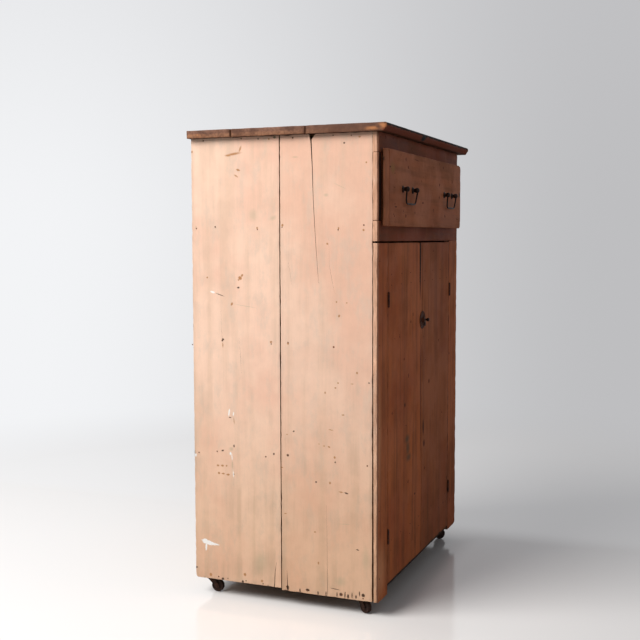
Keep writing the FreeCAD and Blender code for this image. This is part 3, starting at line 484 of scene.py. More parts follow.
class Surface(Tree):
    """A material's tree, with what every wooden or iron surface here starts from."""

    def __init__(self, name: str) -> None:
        """Starts a material of that name."""
        self.material = bpy.data.materials.new(name)
        self.material.use_nodes = True
        super().__init__(self.material.node_tree)
        self.at = self.place()

    def figure(self, run: Run) -> Sequence[Socket]:
        """The board's own streaks, fibre and rings: a stored number moves them, so no two match."""
        own = self.times(self.stored("board"), 7.0)
        shift = self.node("CombineXYZ", X=own, Y=own, Z=own).outputs[0]
        return self.use(FIGURE, Vector=self.at, Run=run.value, Shift=shift)

    def patches(self, scale: float) -> Socket:
        """Broad soft patches."""
        return self.use(BLOTCH, Vector=self.at, Scale=scale)[0]

    def worn(self, amount: float) -> Socket:
        """Where the arrises are worn through."""
        return self.use(WEAR, Vector=self.at, Edge=self.stored("edge"), Amount=amount)[0]

    def oval(self, centre: Sequence[float], size: Sequence[float], core: float) -> Socket:
        """One soft oval at a place, square to the axes."""
        return self.use(MARK, Vector=self.at, Centre=tuple(centre), Turn=(0, 0, 0), Size=size, Core=core)[0]

    def proud(self, ring: Socket, fibre: Socket, rings: float = 0.4, fibres: float = 0.5) -> Socket:
        """How far the harder wood stands out, from the shares of rings and fibre."""
        return self.plus(self.times(ring, rings), self.times(fibre, fibres))

    def marked(self, colour: Socket, marks: Iterable[Mark], axis: int, level: float) -> tuple[Socket, Socket | float]:
        """Lays the marks of one face over a colour.

        Args:
            colour: What lies below.
            marks: The marks, as they stand on the picture.
            axis: The axis that the face is square to.
            level: The face's place along it.

        Returns:
            The new colour, and a mask of all the marks that break the paint or paint shade into a gap.
        """
        jitter = self.node("TexNoise", Vector=self.at, Scale=520.0, Detail=2.0).outputs["Color"]
        offset = self.vector("MULTIPLY", self.vector("SUBTRACT", jitter, (0.5,) * 3), (MARK_JITTER,) * 3)
        ragged = self.vector("ADD", self.at, offset)
        across = 1 - axis
        covered: dict[Kind, Socket] = {}
        for mark in marks:
            centre = LOOKOUT.meet(mark.px, mark.py, axis, level)
            right = LOOKOUT.meet(mark.px + mark.wide, mark.py, axis, level) - centre
            down = LOOKOUT.meet(mark.px, mark.py + mark.high, axis, level) - centre
            size = [0.0, 0.0, 0.0]
            size[axis], size[across], size[2] = MARK_DEPTH, abs(right[across]), abs(down.z)
            turn = [0.0, 0.0, 0.0]
            turn[axis] = math.radians(mark.turn)
            mask = self.use(MARK, Vector=ragged, Centre=tuple(centre), Turn=turn, Size=size, Core=mark.core)[0]
            before = covered.get(mark.kind)
            covered[mark.kind] = self.math("MAXIMUM", before, mask) if before else mask
        for kind, mask in covered.items():
            colour = self.over(colour, kind.value, mask, STRENGTHS.get(kind, STRONG))
        broken_or_shaded = [covered[kind] for kind in (Kind.BARE, Kind.DARK, Kind.GAP) if kind in covered]
        return colour, self.most(broken_or_shaded) if broken_or_shaded else 0.0

    def ragged(self, number: Socket, scale: float, detail: float, by: float) -> Socket:
        """A number that noise moves up and down, by half of the given width at most."""
        return self.plus(number, self.times(self.less(self.noise(self.at, scale, detail), 0.5), by))

    def finish(
        self, colour: Socket, rough: object, height: Socket, depth: float, metal: object = 0.0, gloss: float = 0.2
    ) -> None:
        """Ends the tree in the shader.

        Args:
            colour: Base colour.
            rough: Roughness.
            height: What stands proud, from 0 to 1.
            depth: How far, in metres.
            metal: Metallic.
            gloss: Level of the shader's mirror part.
        """
        bump = self.node("Bump", Strength=0.6, Distance=depth, Height=height)
        shader = self.node(
            "BsdfPrincipled", Base_Color=colour, Roughness=rough, Metallic=metal, Normal=bump.outputs[0],
            Specular_IOR_Level=gloss,
        )
        self.feed(self.node("OutputMaterial").inputs["Surface"], shader.outputs[0])


@dataclass(frozen=True)
class Paint:
    """Old oil paint on pine: faded in streaks, grimy, and worn through at the arrises.

    Attributes:
        name: The material's name.
        main: The paint where it is cleanest.
        faded: The paint where it has browned.
        streak: The long streaks.
        soil: Grime in corners and low down; low down it also serves as painted shade.
        bare: The wood that shows.
        cloud: Mottled patches.
        run: Which way the board's grain runs.
        soiling: Share of the paint that is soiled.
        streaking: Strength of the long streaks.
        wear: How far the arrises are worn.
        chips: Share of small chips.
        rim: Strength of the grime along the arrises.
        shaded_lap: Paint that laps round from the front's face onto the edge, kept dark as painted shade of the front.
        low: What is left of the red, green and blue near the floor: painted shade, for the light falling off there.
        marks: Placed marks, with the axis and level of the face that has them.
    """

    name: str
    main: Colour
    faded: Colour
    streak: Colour
    soil: Colour
    bare: Colour
    cloud: Colour
    run: Run
    soiling: float = 0.2
    streaking: float = 0.5
    wear: float = 0.0
    chips: float = 0.03
    rim: float = 0.35
    shaded_lap: Colour | None = None
    low: tuple[float, float, float] = (0.88, 0.84, 0.75)
    marks: tuple[tuple[Mark, ...], int, float] | None = None

    def build(self) -> bpy.types.Material:
        """Makes the material."""
        tree = Surface(self.name)
        streak, fibre, ring = tree.figure(self.run)
        colour = tree.mix(tree.patches(3.2), self.main, self.faded)
        long_streaks = tree.band(streak, 0.46, 0.7)
        colour = tree.over(colour, self.streak, long_streaks, self.streaking)
        patch = tree.patches(9.0)
        cloud = tree.band(tree.noise(tree.vector("MULTIPLY", tree.at, (1.0, 1.0, 0.45)), 19.0, 6.0, 0.72), 0.48, 0.66)
        colour = tree.over(colour, self.cloud, cloud, 0.4)
        # Painted shade: the paint darkens and browns towards the floor, for the light falling off there, and the grime
        # is heavier there too.
        low = tree.band(tree.parts(tree.at)["Z"], 0.75, 0.05)
        dirt = tree.times(patch, tree.plus(tree.times(low, 0.2), self.soiling))
        colour = tree.over(colour, self.soil, dirt, tree.band(streak, 0.35, 0.62))
        near_edge = tree.times(tree.band(tree.stored("edge"), 0.2, 0.95), tree.band(fibre, 0.35, 0.7))
        colour = tree.over(colour, self.soil, near_edge, self.rim)
        mottle = tree.noise(tree.at, 24.0, 5.0, 0.7)
        shade = tree.times(tree.between(fibre, 0.955, 1.045), tree.between(mottle, 0.9, 1.08))
        red, green, blue = (tree.times(shade, tree.between(low, 1.0, part)) for part in self.low)
        colour = tree.mix(1.0, colour, tree.node("CombineXYZ", X=red, Y=green, Z=blue).outputs[0], "MULTIPLY")
        # Painted shade: the front few millimetres of the edge are dark, as if the shaded front face wrapped round it.
        if self.shaded_lap:
            deep = tree.ragged(tree.parts(tree.at)["Y"], 30.0, 6.0, 4.5 * MM)
            lapped = tree.band(deep, FRAME_FACE_Y + 6.2 * MM, FRAME_FACE_Y + 4.5 * MM)
            colour = tree.over(colour, self.shaded_lap, lapped, 0.92)
        chips = tree.use(FLAKES, Vector=tree.at, Scale=46.0, Share=self.chips)[0]
        off = tree.most([chips, tree.worn(self.wear)])
        under = tree.mix(tree.band(fibre, 0.3, 0.7), self.bare, Kind.DARK.value)
        colour = tree.over(colour, under, off, 0.9)
        height = tree.less(tree.proud(ring, fibre, 0.25, 0.35), tree.times(off, 0.5))
        if self.marks:
            colour, broken_or_shaded = tree.marked(colour, *self.marks)
            off = tree.math("MAXIMUM", off, broken_or_shaded)
        rough = tree.between(off, tree.between(patch, 0.62, 0.76), 0.85)
        tree.finish(colour, rough, height, 0.7 * MM)
        return tree.material


@dataclass(frozen=True)
class Stain:
    """Dark stain on pine boards, rubbed to tan at the corners, with painted shade in black along the top of the front
    edge.
    """

    name: str = "stained_top"

    def build(self) -> bpy.types.Material:
        """Makes the material."""
        tree = Surface(self.name)
        streak, fibre, ring = tree.figure(Run.ALONG_X)
        colour = tree.mix(ring, hue(104, 66, 46), hue(74, 46, 34))
        colour = tree.mix(tree.band(streak, 0.4, 0.68), colour, hue(54, 33, 26))
        patch = tree.patches(6.0)
        colour = tree.over(colour, hue(122, 84, 62), patch, 0.5)
        parts = tree.parts(tree.at)
        level = tree.ragged(parts["Z"], 60.0, 3.0, 12 * MM)
        off_middle = tree.math("ABSOLUTE", tree.less(parts["X"], (END_LEFT + END_RIGHT) / 2))
        half = (END_RIGHT - END_LEFT) / 2
        end_grain = tree.band(off_middle, half - 4 * MM, half - 1 * MM)
        board_tone = tree.band(tree.noise(tree.at, 24.0, 3.0), 0.4, 0.6)
        end_tone = tree.mix(board_tone, hue(132, 94, 76), hue(96, 66, 54))
        upper_half = tree.band(level, TOP_LEVEL - 15 * MM, TOP_LEVEL - 8 * MM)
        end_tone = tree.mix(upper_half, tree.mix(board_tone, hue(164, 118, 90), hue(128, 90, 70)), end_tone)
        pores = tree.times(tree.band(tree.noise(tree.at, 160.0, 3.0), 0.42, 0.66), 0.45)
        end_tone = tree.mix(pores, end_tone, hue(66, 42, 34))
        frontward = tree.times(tree.band(parts["Y"], 0.02, -0.15), 0.7)
        end_tone = tree.mix(frontward, end_tone, hue(96, 66, 53))
        colour = tree.over(colour, end_tone, end_grain, 0.85)
        # Painted shade: the upper part of the front edge is black, for its rounded arris in shadow; below it is reddish
        # brown.
        front = tree.band(parts["Y"], TOP_FRONT + 16 * MM, TOP_FRONT + 4 * MM)
        lip = tree.mix(tree.band(level, TOP_LEVEL - 8.5 * MM, TOP_LEVEL - 5.5 * MM), hue(130, 62, 38), hue(22, 14, 13))
        colour = tree.over(colour, lip, front, 0.9)
        worn = tree.worn(0.12)
        rubbed = tree.mix(tree.band(fibre, 0.35, 0.65), hue(150, 102, 72), hue(92, 58, 42))
        split = tree.oval(LOOKOUT.meet(424.6, 138.4, 1, TOP_FRONT), (0.024, 0.02, 0.011), 0.5)
        colour = tree.mix(split, colour, hue(24, 14, 12))
        away = tree.less(1.0, front)
        colour = tree.over(colour, rubbed, tree.times(worn, away), 0.75)
        tan = [
            tree.oval(centre, size, 0.2)
            for centre, size in (
                ((END_LEFT + 2 * MM, TOP_FRONT + 8 * MM, TOP_LEVEL - 10 * MM), (0.008, 0.026, 0.012)),
                ((END_LEFT + 2 * MM, TOP_FRONT + 40 * MM, TOP_LEVEL - 15 * MM), (0.008, 0.026, 0.007)),
                ((END_LEFT + 2 * MM, TOP_BACK - 34 * MM, TOP_LEVEL - 15 * MM), (0.008, 0.034, 0.007)),
                ((END_RIGHT - 5 * MM, TOP_FRONT + 10 * MM, TOP_LEVEL - 4 * MM), (0.022, 0.03, 0.012)),
            )
        ]
        bitten = tree.times(tree.most(tan), tree.band(tree.noise(tree.at, 70.0, 4.0), 0.3, 0.6))
        colour = tree.mix(bitten, colour, hue(182, 122, 80))
        tree.finish(colour, tree.between(patch, 0.6, 0.75), tree.proud(ring, fibre), 0.9 * MM, gloss=0.12)
        return tree.material


@dataclass(frozen=True)
class Pine:
    """Bare pine, browned with age."""

    name: str
    run: Run
    tone: tuple[float, float, float] = (176, 134, 92)

    def build(self) -> bpy.types.Material:
        """Makes the material."""
        tree = Surface(self.name)
        streak, fibre, ring = tree.figure(self.run)
        dark = hue(*(value * 0.74 for value in self.tone))
        colour = tree.mix(ring, hue(*self.tone), dark)
        colour = tree.over(colour, dark, tree.band(streak, 0.45, 0.7), 0.5)
        patch = tree.patches(5.0)
        colour = tree.over(colour, hue(122, 92, 66), patch, 0.35)
        colour = tree.over(colour, hue(110, 78, 52), tree.worn(0.02), 0.5)
        tree.finish(colour, tree.between(patch, 0.66, 0.8), tree.proud(ring, fibre), 0.6 * MM)
        return tree.material


@dataclass(frozen=True)
class Metal:
    """Iron under old paint and rust."""

    name: str
    dark: Colour
    rust: Colour
    rusting: float = 0.35
    metal: float = 0.55

    def build(self) -> bpy.types.Material:
        """Makes the material."""
        tree = Surface(self.name)
        patch = tree.band(tree.noise(tree.at, 130.0, 5.0, 0.65), 0.62 - self.rusting * 0.4, 0.7)
        fine = tree.noise(tree.at, 900.0, 3.0)
        colour = tree.mix(patch, self.dark, self.rust)
        colour = tree.over(colour, hue(24, 18, 16), tree.band(fine, 0.45, 0.75), 0.4)
        metal = tree.between(patch, self.metal, 0.05)
        rough = tree.between(patch, 0.42, 0.85)
        raised = tree.plus(tree.times(patch, 0.6), tree.times(fine, 0.3))
        tree.finish(colour, rough, raised, 0.25 * MM, metal)
        return tree.material


END_LEFT, TOP_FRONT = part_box("top_board_front")[0].xy
END_RIGHT, TOP_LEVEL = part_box("top_board_front")[1].x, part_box("top_board_front")[1].z
TOP_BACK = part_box("top_board_back")[1].y

SALMON = {
    "main": hue(243, 206, 182),
    "faded": hue(236, 191, 167),
    "streak": hue(222, 187, 161),
    "soil": hue(190, 162, 140),
    "bare": hue(150, 104, 70),
    "cloud": hue(210, 188, 170),
}
SHADED = {
    "main": hue(210, 118, 68),
    "faded": hue(190, 98, 54),
    "streak": hue(138, 74, 42),
    "soil": hue(128, 80, 50),
    "bare": hue(92, 48, 28),
    "cloud": hue(168, 96, 60),
}
UPRIGHT = SHADED | {"run": Run.UPRIGHT, "soiling": 0.35, "streaking": 0.6, "wear": 0.06}
LEVEL = SHADED | {"run": Run.ALONG_X, "soiling": 0.5, "chips": 0.06}
WALL = SALMON | {"run": Run.UPRIGHT}
SEAM_PX = 279.5  # the seam of the left side, on the picture
DOORS_PX = 421.0  # where the doors meet, on the picture


def on_face(marks: Iterable[Mark], axis: int, level: float, low: float = -math.inf, high: float = math.inf) -> tuple:
    """Marks for one face, of those whose middles lie between two pixels.

    Args:
        marks: The marks of the whole side or front.
        axis: The axis that the face is square to.
        level: The face's place along it.
        low: The marks lie right of this pixel.
        high: The marks lie left of this pixel.

    Returns:
        The marks, the axis and the level.
    """
    return tuple(mark for mark in marks if low < mark.px < high), axis, level


FINISHES = {
    "left_rear": Paint("side_paint_rear", **WALL, chips=0.035, marks=on_face(SIDE_MARKS, 0, LEFT_SIDE_X, high=SEAM_PX)),
    # Painted shade: this board is a little darker than the rear one, and darker towards the floor, for the light
    # falling off away from the lamp.
    "left_front": Paint(
        "side_paint_front", **(WALL | {"main": hue(238, 201, 177), "faded": hue(231, 186, 161)}),
        chips=0.035, low=(0.865, 0.795, 0.69), marks=on_face(SIDE_MARKS, 0, LEFT_SIDE_X, low=SEAM_PX),
    ),
    "side": Paint("side_paint", **WALL),
    "front_up": Paint("front_paint_upright", **UPRIGHT, chips=0.04),
    "front_level": Paint(
        "front_paint_level",
        **(LEVEL | {"main": hue(152, 74, 42), "faded": hue(132, 62, 36), "streak": hue(98, 48, 28)}),
        streaking=0.7, wear=0.06,
    ),
    "door_left": Paint("door_paint_left", **UPRIGHT, marks=on_face(FRONT_MARKS, 1, FRAME_FACE_Y, high=DOORS_PX)),
    # Painted shade: the right door is darker than the left, for the light falling off across the front.
    "door_right": Paint(
        "door_paint_right", **(UPRIGHT | {"main": hue(190, 110, 68), "faded": hue(172, 92, 54)}),
        marks=on_face(FRONT_MARKS, 1, FRAME_FACE_Y, low=DOORS_PX),
    ),
    "drawer": Paint(
        "drawer_paint",
        **(LEVEL | {"main": hue(199, 121, 81), "faded": hue(182, 103, 66), "streak": hue(152, 90, 58)}),
        wear=0.08, marks=on_face(DRAWER_MARKS, 1, DRAWER_FACE_Y),
    ),
    # The dark band along the front of this edge is painted shade.
    "edge": Paint(
        "edge_paint", **(WALL | {"main": hue(238, 192, 162), "faded": hue(224, 174, 144), "soil": hue(150, 104, 76)}),
        soiling=0.4, streaking=0.4, wear=0.16, chips=0.3, rim=0.6, shaded_lap=hue(92, 52, 34),
    ),
    # Painted shadow: a near-black band on the left stile behind the drawer, for the shadow of the proud drawer front.
    "drawer_stile": Paint(
        "stile_paint_upper", **UPRIGHT, chips=0.04,
        marks=on_face(seen(Kind.GAP, ((379.6, 188, 1.9, 70, 0, 0.8),)), 1, FRAME_FACE_Y),
    ),
    "door_stile": Paint(
        "stile_paint_lower", **UPRIGHT, chips=0.04,
        marks=on_face(seen(Kind.RUBBED, ((380, 572, 7, 34, 0, 0.05), (379, 440, 3, 90, 0, 0.02))), 1, FRAME_FACE_Y),
    ),
    # Bare, soiled end grain of the drawer front, painted darker too as the half shade that the case casts on it.
    "drawer_end": Paint(
        "drawer_end_bare", main=hue(176, 104, 64), faded=hue(150, 88, 56), streak=hue(92, 52, 34),
        cloud=hue(120, 70, 46), soil=hue(76, 44, 28), bare=hue(60, 34, 22), run=Run.UPRIGHT,
        soiling=0.5, streaking=0.8, wear=0.2, chips=0.3,
    ),
    "top": Stain(),
    "pine_x": Pine("bare_pine_level", Run.ALONG_X),
    "pine_y": Pine("bare_pine_deep", Run.ALONG_Y),
    "pine_up": Pine("bare_pine_upright", Run.UPRIGHT, (158, 118, 82)),
    # Near-black wood for the splits: dark old wood, and painted shade in their depth.
    "crack": Pine("old_crack", Run.UPRIGHT, (40, 24, 18)),
    "iron": Metal("dark_iron", hue(44, 33, 29), hue(84, 50, 36)),
    "plate": Metal("latch_plate_iron", hue(72, 45, 35), hue(122, 70, 46), 0.6, 0.15),
    "nail": Metal("rusty_nail", hue(78, 50, 38), hue(128, 76, 50), 0.9, 0.2),
    "caster": Metal("caster_iron", hue(58, 42, 36), hue(96, 62, 46), 0.6),
    # The wheels are darker than the forks' iron: their own dark iron, and painted shade, as they sit in the cabinet's
    # shadow.
    "wheel": Metal("caster_wheel", hue(44, 30, 25), hue(74, 48, 38), 0.7, 0.1),
}


class Shop:
    """Keeps one material of each finish, and fits pieces with them."""

    def __init__(self) -> None:
        """Starts with none made."""
        self.made: dict[str, bpy.types.Material] = {}

    def get(self, key: str) -> bpy.types.Material:
        """The material of a finish, made when it is first asked for."""
        if key not in self.made:
            self.made[key] = FINISHES[key].build()
        return self.made[key]

    def cover(self, piece: bpy.types.Object, key: str) -> None:
        """Gives a whole piece one finish."""
        piece.data.materials.clear()
        piece.data.materials.append(self.get(key))

    def fit(
        self, name: str, bm: bmesh.types.BMesh, key: str, body: str, slot: str, *stands_for: str, smooth: float = 40.0
    ) -> None:
        """Makes a finished piece that rides on its body.

        Args:
            name: The piece's name.
            bm: Its mesh, which is used up.
            key: Its finish.
            body: What it rides on.
            slot: The record's finish; not used.
            stands_for: The nodes that it replaces.
            smooth: Edges up to this many degrees are shaded smooth.
        """
        piece = new_object(name, bm, smooth)
        self.cover(piece, key)
        settle(piece, body, slot, *stands_for)


# ------------------------------------------------------------------ mesh work
def new_object(name: str, bm: bmesh.types.BMesh, smooth: float = 35.0) -> bpy.types.Object:
    """Turns a bmesh into an object at the origin, smooth but for its sharp edges."""
    mesh = bpy.data.meshes.new(name)
    bm.to_mesh(mesh)
    bm.free()
    mesh.polygons.foreach_set("use_smooth", [True] * len(mesh.polygons))
    mesh.set_sharp_from_angle(angle=math.radians(smooth))
    made = bpy.data.objects.new(name, mesh)
    bpy.context.scene.collection.objects.link(made)
    return made


def node_copy(node: str) -> bmesh.types.BMesh:
    """A merged copy of a node's mesh, with its flat faces whole."""
    bm = bmesh.new()
    bm.from_mesh(NODES[node].data)
    bmesh.ops.remove_doubles(bm, verts=bm.verts, dist=WELD)
    bmesh.ops.dissolve_limit(bm, angle_limit=0.01, verts=bm.verts, edges=bm.edges)
    return bm


def soften(bm: bmesh.types.BMesh, width: float, segments: int = 2) -> None:
    """Rounds every sharp edge a little."""
    sharp = [e for e in bm.edges if len(e.link_faces) == 2 and e.calc_face_angle(0.0) > SHARP]
    bmesh.ops.bevel(
        bm, geom=sharp, offset=width, offset_type="OFFSET", segments=segments, profile=0.5,
        affect="EDGES", clamp_overlap=True, material=-1,
    )


def islands(bm: bmesh.types.BMesh) -> list[list[bmesh.types.BMVert]]:
    """The vertices of each connected piece."""
    left = set(bm.verts)
    found = []
    while left:
        piece = [left.pop()]
        for vert in piece:  # which grows as it is walked
            fresh = left & {other for edge in vert.link_edges for other in edge.verts}
            left -= fresh
            piece += fresh
        found.append(piece)
    return found


def cut_across(bm: bmesh.types.BMesh, axis: int, place: float) -> None:
    """Adds a loop of edges where a plane meets the mesh."""
    normal = [0.0, 0.0, 0.0]
    normal[axis] = 1.0
    bmesh.ops.bisect_plane(
        bm, geom=[*bm.verts, *bm.edges, *bm.faces], dist=CUT,
        plane_co=[place * n for n in normal], plane_no=normal,
    )


def turned(profile: Sequence[tuple[float, float]], axis: Vector, foot: Vector, steps: int = 32) -> bmesh.types.BMesh:
    """Spins an outline of (radius, height) points into a closed shape.

    Args:
        profile: The outline in millimetres, from pole to pole.
        axis: Unit vector of the height.
        foot: Where height 0 is.
        steps: Faces round the axis.

    Returns:
        The mesh, with its normals outwards.
    """
    bm = bmesh.new()
    side = axis.orthogonal().normalized()
    verts = [bm.verts.new(foot + side * (r * MM) + axis * (h * MM)) for r, h in profile]
    edges = [bm.edges.new(pair) for pair in zip(verts, verts[1:])]
    bmesh.ops.spin(bm, geom=verts + edges, cent=foot, axis=axis, angle=math.tau, steps=steps, use_merge=True)
    bmesh.ops.remove_doubles(bm, verts=bm.verts, dist=WELD)
    bmesh.ops.recalc_face_normals(bm, faces=bm.faces)
    return bm


def swept(path: Sequence[Vector], radii: Sequence[float], sides: int = 12) -> bmesh.types.BMesh:
    """Draws a round section along a path, with closed ends."""
    bm = bmesh.new()
    start = (path[1] - path[0]).normalized()
    ring = bmesh.ops.create_circle(
        bm, cap_ends=True, radius=radii[0], segments=sides,
        matrix=Matrix.Translation(path[0]) @ start.to_track_quat("Z", "Y").to_matrix().to_4x4(),
    )["verts"]
    edges = list({e for v in ring for e in v.link_edges})
    before = start
    for index in range(1, len(path)):
        grown = bmesh.ops.extrude_edge_only(bm, edges=edges)["geom"]
        ring = [g for g in grown if isinstance(g, bmesh.types.BMVert)]
        edges = [g for g in grown if isinstance(g, bmesh.types.BMEdge)]
        ahead = (path[min(index + 1, len(path) - 1)] - path[index - 1]).normalized()
        centre = path[index - 1]
        bmesh.ops.rotate(bm, verts=ring, cent=centre, matrix=before.rotation_difference(ahead).to_matrix())
        bmesh.ops.scale(
            bm, verts=ring, vec=(radii[index] / radii[index - 1],) * 3, space=Matrix.Translation(-centre)
        )
        bmesh.ops.translate(bm, verts=ring, vec=path[index] - centre)
        before = ahead
    bmesh.ops.contextual_create(bm, geom=edges)
    bmesh.ops.recalc_face_normals(bm, faces=bm.faces)
    return bm


def joined(parts: Iterable[bmesh.types.BMesh]) -> bmesh.types.BMesh:
    """Puts several meshes in one."""
    whole = bmesh.new()
    for part in parts:
        kept = bpy.data.meshes.new("part")
        part.to_mesh(kept)
        part.free()
        whole.from_mesh(kept)
        bpy.data.meshes.remove(kept)
    return whole


def settle(piece: bpy.types.Object, body: str, slot: str, *stands_for: str) -> bpy.types.Object:
    """Makes a piece ride on its body and hides what it stands for."""
    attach(piece, body)
    if stands_for:
        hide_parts(*stands_for)
    LOG.info("%s on %s", piece.name, body)
    return piece


# ------------------------------------------------------------------ boards
Faces = dict[str, str]
SHORT_SIDE = 50 * MM  # a side of a board under this length gets no loops
INSETS = (3 * MM, 12 * MM)  # the loops next to an arris
ARRIS_BAND = 2.4 * MM  # vertices this near to an arris are knocked
FACE_BAND = 0.2 * MM  # vertices this near to a face follow its waves
EDGE_REACH = 14 * MM  # how far from an arris the stored nearness goes
DENT_SCALE, WAVE_SCALE = 55, 7  # noise per metre
DENT_GAIN = 2.2  # brings the tops of the noise to the full depth
WAVE = 0.35 * MM
NOISE_STEPS = (3.7, 1.9, 5.3)  # from one board's noise to the next one's
LOOKS_THAT_WAY = 0.6  # least cosine between a face and a direction
FIGURE_STEP = 0.618  # spreads the boards' own numbers between 0 and 1
DIRECTIONS = {
    "-x": Vector((-1, 0, 0)), "+x": Vector((1, 0, 0)), "-y": Vector((0, -1, 0)),
    "+y": Vector((0, 1, 0)), "-z": Vector((0, 0, -1)), "+z": Vector((0, 0, 1)),
}


@dataclass
class Board:
    """A board with eased, knocked arrises, made over a node's own shape.

    Attributes:
        node: The node that it stands for.
        body: What it rides on.
        slot: The record's finish.
        finish: The finish of its faces.
        faces: Another finish for the faces that look along a direction.
        arris: Width of the eased arris.
        knocks: Depth of the dents along the arrises.
        step: Length between loops along the board.
        reach: How far the edge at the middle seam comes nearer to the other board, along Y.
    """

    node: str
    body: str
    slot: str
    finish: str
    faces: Faces = field(default_factory=dict)
    arris: float = 0.9 * MM
    knocks: float = 1.1 * MM
    step: float = 30 * MM
    reach: float = 0.0

    def build(self, shop: Shop, number: int) -> bpy.types.Object:
        """Makes the board.

        Args:
            shop: Where the finishes come from.
            number: Its number, which sets its figure and its dents.

        Returns:
            The piece.
        """
        bm = node_copy(self.node)
        if self.reach:
            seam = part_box(self.node)[self.reach > 0].y
            edge = [v for v in bm.verts if abs(v.co.y - seam) < WELD]
            bmesh.ops.translate(bm, verts=edge, vec=(0.0, self.reach, 0.0))
        soften(bm, self.arris)
        self.divide(bm)
        self.wear(bm, number)
        piece = new_object(self.node + "_worn", bm, 40.0)
        self.dress(piece, shop)
        return settle(piece, self.body, self.slot, self.node)

    def divide(self, bm: bmesh.types.BMesh) -> None:
        """Adds the loops that the dents and the wear need."""
        low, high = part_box(self.node)
        for axis in range(3):
            span = high[axis] - low[axis]
            if span < SHORT_SIDE:
                continue
            for inset in INSETS:
                cut_across(bm, axis, low[axis] + inset)
                cut_across(bm, axis, high[axis] - inset)
            between = span - 2 * INSETS[1]
            count = max(1, round(between / self.step))
            for index in range(1, count):
                cut_across(bm, axis, low[axis] + INSETS[1] + between * index / count)

    def wear(self, bm: bmesh.types.BMesh, number: int) -> None:
        """Knocks the arrises about and stores how near each point is to one."""
        edge = bm.verts.layers.float.new("edge")
        board = bm.faces.layers.float.new("board")
        for face in bm.faces:
            face[board] = (number * FIGURE_STEP) % 1.0
        seed = Vector([number * step for step in NOISE_STEPS])
        for piece in islands(bm):
            low = [min(v.co[a] for v in piece) for a in range(3)]
            high = [max(v.co[a] for v in piece) for a in range(3)]
            middle = Vector([(a + b) / 2 for a, b in zip(low, high)])
            for vert in piece:
                gaps = sorted((min(vert.co[a] - low[a], high[a] - vert.co[a]), a) for a in range(3))
                second = gaps[1][0]
                vert[edge] = max(0.0, 1.0 - second / EDGE_REACH)
                shift = Vector()
                spot = vert.co * DENT_SCALE + seed
                dent = max(0.0, noise.noise(spot) + 0.35 * noise.noise(spot * 3.1) - 0.05)
                broad = 0.5 + 0.5 * noise.noise(vert.co * WAVE_SCALE + seed)
                for gap, axis in gaps[:2]:
                    inward = 1.0 if middle[axis] > vert.co[axis] else -1.0
                    if second < ARRIS_BAND:
                        shift[axis] += inward * dent * self.knocks * DENT_GAIN
                    elif gap < FACE_BAND:
                        shift[axis] += inward * broad * WAVE
                vert.co += shift

    def dress(self, piece: bpy.types.Object, shop: Shop) -> None:
        """Gives each face its finish by the way it looks."""
        keys = [self.finish, *dict.fromkeys(self.faces.values())]
        for key in keys:
            piece.data.materials.append(shop.get(key))
        for face in piece.data.polygons:
            for label, key in self.faces.items():
                if face.normal.dot(DIRECTIONS[label]) > LOOKS_THAT_WAY:
                    face.material_index = keys.index(key)


@dataclass
class Crack:
    """A split in a board: a wedge cut along a line, wide at one end and closed at the other.

    Attributes:
        name: The cutter's name.
        line: Its points on the picture.
        widths: Width at each point, in millimetres.
        deep: Depth at its widest, in millimetres.
        proud: How far the cutter stands out of the board, in metres.
    """

    name: str
    line: Sequence[tuple[float, float]]
    widths: Sequence[float]
    deep: float = 7.0
    proud: float = 1.5 * MM

    def cutter(self, shop: Shop) -> bpy.types.Object:
        """Makes the wedge that is cut out of the left side."""
        bm = bmesh.new()
        ring: list[bmesh.types.BMVert] = []
        for index, ((px, py), width) in enumerate(zip(self.line, self.widths)):
            place = LOOKOUT.meet(px, py, 0, LEFT_SIDE_X)
            half = width * MM / 2
            deep = self.deep * MM * (0.35 + 0.65 * width / max(self.widths))
            corners = [
                place + Vector((-self.proud, -half * 1.3, 0)),
                place + Vector((-self.proud, half * 1.3, 0)),
                place + Vector((deep, 0.15 * half, 0)),
            ]
            if not index:
                ring = [bm.verts.new(corner) for corner in corners]
                bm.faces.new(ring)
                continue
            face = next(f for f in bm.faces if set(f.verts) == set(ring))
            grown = bmesh.ops.extrude_face_region(bm, geom=[face])["geom"]
            fresh = [g for g in grown if isinstance(g, bmesh.types.BMVert)]
            ring = [min(fresh, key=lambda v, o=old: (v.co - o.co).length) for old in ring]
            for vert, corner in zip(ring, corners):
                vert.co = corner
        bmesh.ops.recalc_face_normals(bm, faces=bm.faces)
        made = new_object(self.name, bm)
        made.data.materials.append(shop.get("crack"))
        return made


